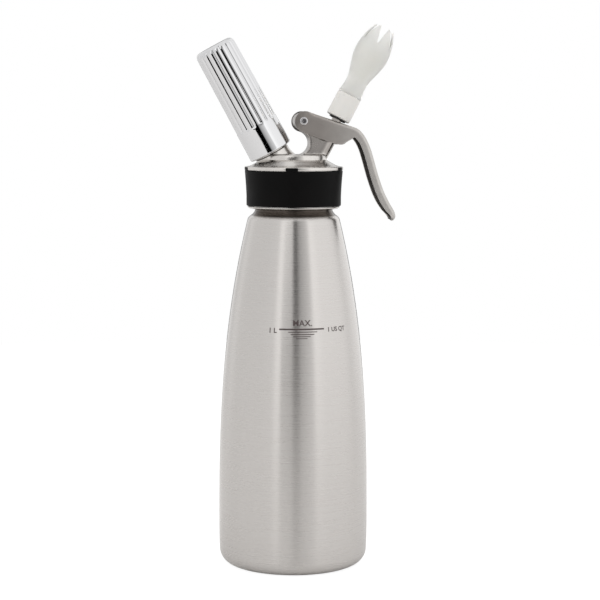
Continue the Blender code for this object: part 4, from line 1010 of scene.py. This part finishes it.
def add_ears(bm, start):
    """Closes each cheek's end, at the lever's start, with a round ear about the hinge."""
    ear = web_point(EAR_SHIFT, EAR_R)
    along = Vector((math.cos(WEB_TILT), -math.sin(WEB_TILT)))
    for side in (SHEET / 2 - LEVER_HALF, LEVER_HALF - SHEET / 2):
        edge = [vert for vert in bm.verts if abs(vert.co.y - side) < 0.02
                and (vert.co.xz - start).dot(along) < 0.05]
        edge.sort(key=lambda vert: vert.co.z)
        low, high = edge[0].co, edge[-1].co
        first = math.degrees(math.atan2(high.z - ear[1], high.x - ear[0]))
        last = math.degrees(math.atan2(low.z - ear[1], low.x - ear[0])) + 360
        ring = [bm.verts.new((x, side, z))
                for x, z in arc(ear, EAR_R - 0.02, first + 2, last - 2, 40)]
        bm.faces.new(edge + ring)
    bmesh.ops.recalc_face_normals(bm, faces=bm.faces)


def stem_slot():
    """A cutter: the hole in the web that the valve's stem comes up through."""
    slot = plug(STEM_SLOT_R, STEM_SLOT_HALF)
    for vert in slot.verts:
        vert.co.x -= STEM_SLOT_BACK if vert.co.x < -MERGE else 0.0
    x, z = spout_point(0, spout_rise() - STEM_SLOT_DOWN)
    return moved(slot, Matrix.Translation((x - HINGE_X, 0, z - HINGE_Z))
                 @ Matrix.Rotation(SPOUT_TILT, 4, "Y"))


def mark_inside(bm, line):
    """Gives the faces inside the channel the second material, which paints them dark: painted
    shade.
    """
    for face in bm.faces:
        middle = face.calc_center_median()
        place, inward, _ = min(line, key=lambda row: (row[0] - middle.xz).length)
        flat = abs(face.normal.y) <= 0.5
        towards_gap = face.normal.y * middle.y < 0 and not flat
        under_web = flat and (middle.xz - place).dot(inward) > SHEET * 0.7
        if abs(middle.y) < LEVER_HALF - SHEET + 0.1 and (towards_gap or under_web):
            face.material_index = 1


def make_lever():
    line = lever_line()
    rows = lever_rows(line)
    last_row, last_column = len(rows) - 1, len(rows[0]) - 1
    bm = bmesh.new()
    bmesh.ops.create_grid(bm, x_segments=last_row, y_segments=last_column, size=1.0)
    for vert in bm.verts:
        row = rows[round((vert.co.x + 1) / 2 * last_row)]
        spot, y = row[round((vert.co.y + 1) / 2 * last_column)]
        vert.co = (spot.x, y, spot.y)
    add_ears(bm, line[0][0])
    bm = worked(bm, ("SOLIDIFY", {"thickness": SHEET, "offset": 0.0, "use_even_offset": True}))
    bmesh.ops.recalc_face_normals(bm, faces=bm.faces)
    soften(bm, LEVER_EDGE, 62.0)
    pin_hole = moved(plug(PIN_HOLE_R, PIN_HOLE_HALF), CROSSWAYS)
    bm = worked(bm, cutters=(pin_hole, stem_slot()))
    mark_inside(bm, line)
    pressing = dress("lever_pressing", bm, "pressed_steel", "lever", "lever", at=HINGE)
    # the second material paints the inside of the channel dark: painted shade
    pressing.data.materials.append(CHANNEL_SHADE)
    rivet = [*RIVET, *((radius, -height) for radius, height in reversed(RIVET))]
    dress("lever_rivet", lathe(rivet, HOLE_SIDES), "charger_steel", "lever", "lever_pin",
          at=HINGE @ CROSSWAYS)


# Washer, adapter and nozzle, measured up the dispensing axis from the adapter's foot

WASHER = ((3.7, -0.4), (3.9, -0.3), (5.4, -0.3), (5.6, -0.45), (5.6, -0.8), (5.4, -0.95),
          (3.9, -0.95), (3.7, -0.85))
ADAPTER_ROUND = 1.0
ADAPTER_EDGE = 0.4
ADAPTER_BORE_R = 3.3
ADAPTER_BORE_LEN = 10.3
ADAPTER_MOUTH_EDGE = (0.2, 0.3)  # across and up
SPIGOT_R = 4.0
SPIGOT_EDGE = (0.4, 0.6)  # across and down
SPIGOT_BORE_R = 2.4
SPIGOT_TOP = 22.8
NOZZLE_FOOT = 16.06
NOZZLE_LEN = 48.4
NOZZLE_BULGE = 11.2
NOZZLE_SHARES = (
    (0.000, 0.690), (0.020, 0.705), (0.060, 0.665), (0.120, 0.630), (0.180, 0.618), (0.250, 0.640),
    (0.330, 0.730), (0.420, 0.850), (0.520, 0.955), (0.610, 1.000), (0.700, 0.985), (0.790, 0.915),
    (0.870, 0.820), (0.940, 0.700), (0.985, 0.610), (1.000, 0.560),
)
NOZZLE_INSET = 0.05
NOZZLE_WALL = 1.35
NOZZLE_HOLLOW = 0.66  # the share of the length above which the wall is even
SOCKET_R = 4.3
SOCKET_LEN = 7.1
THROAT_R = 2.8
THROAT_TOP = 14.0
SLITS = 3
SLIT_ANGLE = -9.0
SLIT_HALF = 2.9
SLIT_DEPTH = 11.0
SLIT_ROOT_R = 0.45
SLIT_OVER = 1.5  # how far the cutter stands over the nozzle's top
SLIT_LEAN = (1.2, 7.0)  # what its side leans towards: half a width, and below the top
SLIT_REACH = 13.0
FUNNEL_LEAN = (5.5, 6.0)  # what the funnel leans towards: a radius, and above the throat


def make_washer():
    dress("stem_washer", lathe(WASHER, BORE_SIDES, closed=True), "seal_rubber", "washer",
          "adapter_washer", at=SPOUT)


def make_adapter():
    side = ADAPTER_R - ADAPTER_EDGE
    outline = [(SPIGOT_BORE_R, SPIGOT_TOP), (SPIGOT_R - SPIGOT_EDGE[0], SPIGOT_TOP),
               (SPIGOT_R, SPIGOT_TOP - SPIGOT_EDGE[1]), (SPIGOT_R, ADAPTER_LEN),
               (side, ADAPTER_LEN), (ADAPTER_R, ADAPTER_LEN - ADAPTER_EDGE),
               (ADAPTER_R, ADAPTER_ROUND)]
    outline += bend(outline[-1], (ADAPTER_R, 0.0), (ADAPTER_R - ADAPTER_ROUND, 0.0), 5)
    outline += [(ADAPTER_BORE_R + ADAPTER_MOUTH_EDGE[0], 0),
                (ADAPTER_BORE_R, ADAPTER_MOUTH_EDGE[1]),
                (ADAPTER_BORE_R, ADAPTER_BORE_LEN), (SPIGOT_BORE_R, ADAPTER_BORE_LEN)]
    dress("nozzle_adapter", lathe(outline, POST_SIDES, closed=True), "adapter_plastic", "adapter",
          "tip_adapter", at=SPOUT)


def nozzle_slit(number):
    """A cutter: a wedge with a round root, which parts the petals on both sides."""
    top = NOZZLE_FOOT + NOZZLE_LEN
    wide, root = top + SLIT_OVER, top - SLIT_DEPTH
    lean, lean_at = SLIT_LEAN[0], top - SLIT_LEAN[1]
    outline = [(-SLIT_HALF, wide), (SLIT_HALF, wide)]
    outline += bend((SLIT_HALF, wide), (lean, lean_at), (SLIT_ROOT_R, root), 5)
    outline += arc((0, root), SLIT_ROOT_R, 0, -180, 6)[1:]
    outline += bend((-SLIT_ROOT_R, root), (-lean, lean_at), (-SLIT_HALF, wide), 5)[:-1]
    turn = math.radians(SLIT_ANGLE + 180.0 * number / SLITS)
    return moved(plate(outline, SLIT_REACH), Matrix.Rotation(turn, 4, "Z"))


def make_nozzle():
    outer = [(point.y * NOZZLE_BULGE - NOZZLE_INSET, NOZZLE_FOOT + NOZZLE_LEN * point.x)
             for point in through(NOZZLE_SHARES, 5)]
    hollow = [(radius - NOZZLE_WALL, height) for radius, height in outer
              if height > NOZZLE_FOOT + NOZZLE_LEN * NOZZLE_HOLLOW]
    socket, throat = NOZZLE_FOOT + SOCKET_LEN, NOZZLE_FOOT + THROAT_TOP
    outline = [*reversed(outer), (SOCKET_R, NOZZLE_FOOT), (SOCKET_R, socket), (THROAT_R, socket),
               (THROAT_R, throat)]
    lean = (FUNNEL_LEAN[0], throat + FUNNEL_LEAN[1])
    outline += bend(outline[-1], lean, hollow[0], 12) + hollow[1:]
    shell = worked(lathe(outline, SLAB_SIDES, closed=True),
                   cutters=[nozzle_slit(number) for number in range(SLITS)])
    shell = cast(shell, grain=0.28, rounds=4)
    dress("tulip_nozzle", shell, "nozzle_plastic", "nozzle", "nozzle", at=SPOUT, sharp=80.0)


make_bottle()
make_mark()
make_skirt()
make_arm()
make_post()
make_band()
make_holder()
make_lever()
make_washer()
make_adapter()
make_nozzle()


# Studio, in metres

FLOOR_R = 1.15
FLOOR_SIDES = 96
FLOOR_LIT = 0.70  # how much of the floor that the camera sees is plain light
FLOOR_LIGHT = 1.25
LAMP_AIM = (0, 0, 0.2)
LAMP_SIZE = 0.9
LAMPS = (("key_lamp", (-1.1, -0.9, 1.3), 9.0), ("fill_lamp", (1.3, -0.7, 0.9), 5.0))


def make_floor():
    bm = bmesh.new()
    bmesh.ops.create_circle(bm, cap_ends=True, segments=FLOOR_SIDES, radius=FLOOR_R)
    mesh = bpy.data.meshes.new("studio_floor")
    bm.to_mesh(mesh)
    bm.free()
    floor = bpy.data.objects.new("studio_floor", mesh)
    bpy.context.collection.objects.link(floor)
    paint = bpy.data.materials.new("studio_floor")
    paint.use_nodes = True
    tree = paint.node_tree
    tree.nodes.clear()
    ray = add(tree, "ShaderNodeLightPath")
    seen = add(tree, "ShaderNodeMath", {0: ray.outputs["Is Camera Ray"], 1: FLOOR_LIT},
               operation="MULTIPLY")
    flat = add(tree, "ShaderNodeBsdfDiffuse", {"Color": linear("E2E1E0")})
    white = add(tree, "ShaderNodeEmission", {"Color": (1, 1, 1, 1), "Strength": FLOOR_LIGHT})
    both = add(tree, "ShaderNodeMixShader", {0: seen.outputs["Value"], 1: flat.outputs["BSDF"],
                                             2: white.outputs["Emission"]})
    add(tree, "ShaderNodeOutputMaterial", {"Surface": both.outputs["Shader"]})
    mesh.materials.append(paint)


# What the metal reflects: how bright the studio is at each angle to the right of the camera, near
# the horizon and above it
PANELS_LOW = (
    (-180, 0.12), (-166, 0.12), (-160, 1.05), (-142, 0.84), (-124, 1.06), (-110, 0.94), (-60, 0.93),
    (-34, 0.97), (-27, 1.30), (-21.5, 1.30), (-20.5, 0.0), (9.5, 0.0), (12, 0.42), (33, 0.95),
    (38, 1.40), (55, 1.24), (96, 1.20), (113, 1.02), (130, 1.15), (160, 1.15), (166, 0.12),
    (180, 0.12),
)
PANELS_HIGH = (
    (-180, 0.70), (-160, 1.05), (-142, 0.84), (-124, 1.06), (-110, 0.94), (-60, 0.93), (-35, 1.0),
    (-29, 1.45), (-18, 1.40), (-8, 1.2), (-1.5, 1.15), (-0.5, 0.0), (8, 0.0), (11, 0.40),
    (34, 0.90), (38, 1.45), (55, 1.26), (96, 1.20), (113, 1.02), (130, 1.15), (160, 1.15),
    (180, 0.70),
)
BRIGHTEST = 1.5
CEILING = 1.05
WALL_GOES_OVER = (0.03, 0.24)  # how steeply a ray rises where the low panels give way to the high
CEILING_STARTS = (0.60, 0.87)

CAMERA_LENS = 105.0
CAMERA_SENSOR = 36.0
CAMERA_TURN = math.radians(-9.0)
CAMERA_AWAY = 1.121
CAMERA_SIDE = 0.0042
CAMERA_HEIGHT = 0.2859
CAMERA_DOWN = math.radians(5.87)
CAMERA_ROLL = math.radians(0.16)


def make_world():
    """White behind everything. What metal reflects is a studio: a tall white panel on each side of
    the camera with a dark gap between them, and a narrower gap behind the object."""
    world = bpy.data.worlds.new("studio")
    bpy.context.scene.world = world
    world.use_nodes = True
    tree = world.node_tree
    tree.nodes.clear()
    place = add(tree, "ShaderNodeTexCoord")
    turned = add(tree, "ShaderNodeMapping", {"Vector": place.outputs["Generated"],
                                             "Rotation": (0, 0, math.pi / 2 - CAMERA_TURN)})
    side = add(tree, "ShaderNodeTexGradient", {"Vector": turned.outputs["Vector"]},
               gradient_type="RADIAL")
    rise = add(tree, "ShaderNodeSeparateXYZ", {"Vector": turned.outputs["Vector"]})
    walls = []
    for panels in (PANELS_LOW, PANELS_HIGH):
        walls.append(add(tree, "ShaderNodeValToRGB", {"Fac": side.outputs["Fac"]}))
        stops = walls[-1].color_ramp.elements
        stops.remove(stops[1])
        for angle, light in panels:
            stop = stops[0] if angle == -180 else stops.new(angle / 360 + 0.5)
            stop.color = (light / BRIGHTEST,) * 3 + (1.0,)
    upper, roof = (add(tree, "ShaderNodeMapRange", {"Value": rise.outputs["Z"], "From Min": start,
                                                    "From Max": stop},
                       interpolation_type="SMOOTHSTEP")
                   for start, stop in (WALL_GOES_OVER, CEILING_STARTS))
    wall = add(tree, "ShaderNodeMix", {"Factor": upper.outputs["Result"],
                                       "A": walls[0].outputs["Color"],
                                       "B": walls[1].outputs["Color"]}, data_type="RGBA")
    studio = add(tree, "ShaderNodeMix", {"Factor": roof.outputs["Result"],
                                         "A": wall.outputs["Result"],
                                         "B": (CEILING / BRIGHTEST,) * 3 + (1.0,)},
                 data_type="RGBA")
    ray = add(tree, "ShaderNodeLightPath")
    plain = add(tree, "ShaderNodeMath", {0: ray.outputs["Is Camera Ray"],
                                         1: ray.outputs["Is Transmission Ray"]},
                operation="MAXIMUM")
    seen = add(tree, "ShaderNodeMix", {"Factor": plain.outputs["Value"],
                                       "A": studio.outputs["Result"],
                                       "B": (1 / BRIGHTEST,) * 3 + (1.0,)}, data_type="RGBA")
    back = add(tree, "ShaderNodeBackground", {"Color": seen.outputs["Result"],
                                              "Strength": BRIGHTEST})
    add(tree, "ShaderNodeOutputWorld", {"Surface": back.outputs["Background"]})


def make_lamp(name, place, power):
    """A soft lamp for shadows and for the rubber and plastic; metal shows the studio instead."""
    light = bpy.data.lights.new(name, "AREA")
    light.shape = "SQUARE"
    light.size = LAMP_SIZE
    light.energy = power
    lamp = bpy.data.objects.new(name, light)
    lamp.location = place
    lamp.rotation_euler = (Vector(LAMP_AIM) - Vector(place)).to_track_quat("-Z", "Y").to_euler()
    lamp.visible_glossy = False
    bpy.context.collection.objects.link(lamp)


def make_camera():
    lens = bpy.data.cameras.new("camera")
    lens.lens = CAMERA_LENS
    lens.sensor_width = CAMERA_SENSOR
    camera = bpy.data.objects.new("camera", lens)
    sine, cosine = math.sin(CAMERA_TURN), math.cos(CAMERA_TURN)
    camera.location = (sine * CAMERA_AWAY + cosine * CAMERA_SIDE,
                       -cosine * CAMERA_AWAY + sine * CAMERA_SIDE, CAMERA_HEIGHT)
    aim = (Matrix.Rotation(CAMERA_TURN, 3, "Z") @ Matrix.Rotation(math.pi / 2 - CAMERA_DOWN, 3, "X")
           @ Matrix.Rotation(CAMERA_ROLL, 3, "Z"))
    camera.rotation_euler = aim.to_euler()
    bpy.context.collection.objects.link(camera)
    bpy.context.scene.camera = camera


make_floor()
make_world()
for lamp in LAMPS:
    make_lamp(*lamp)
make_camera()
bpy.context.scene.view_settings.view_transform = "Standard"
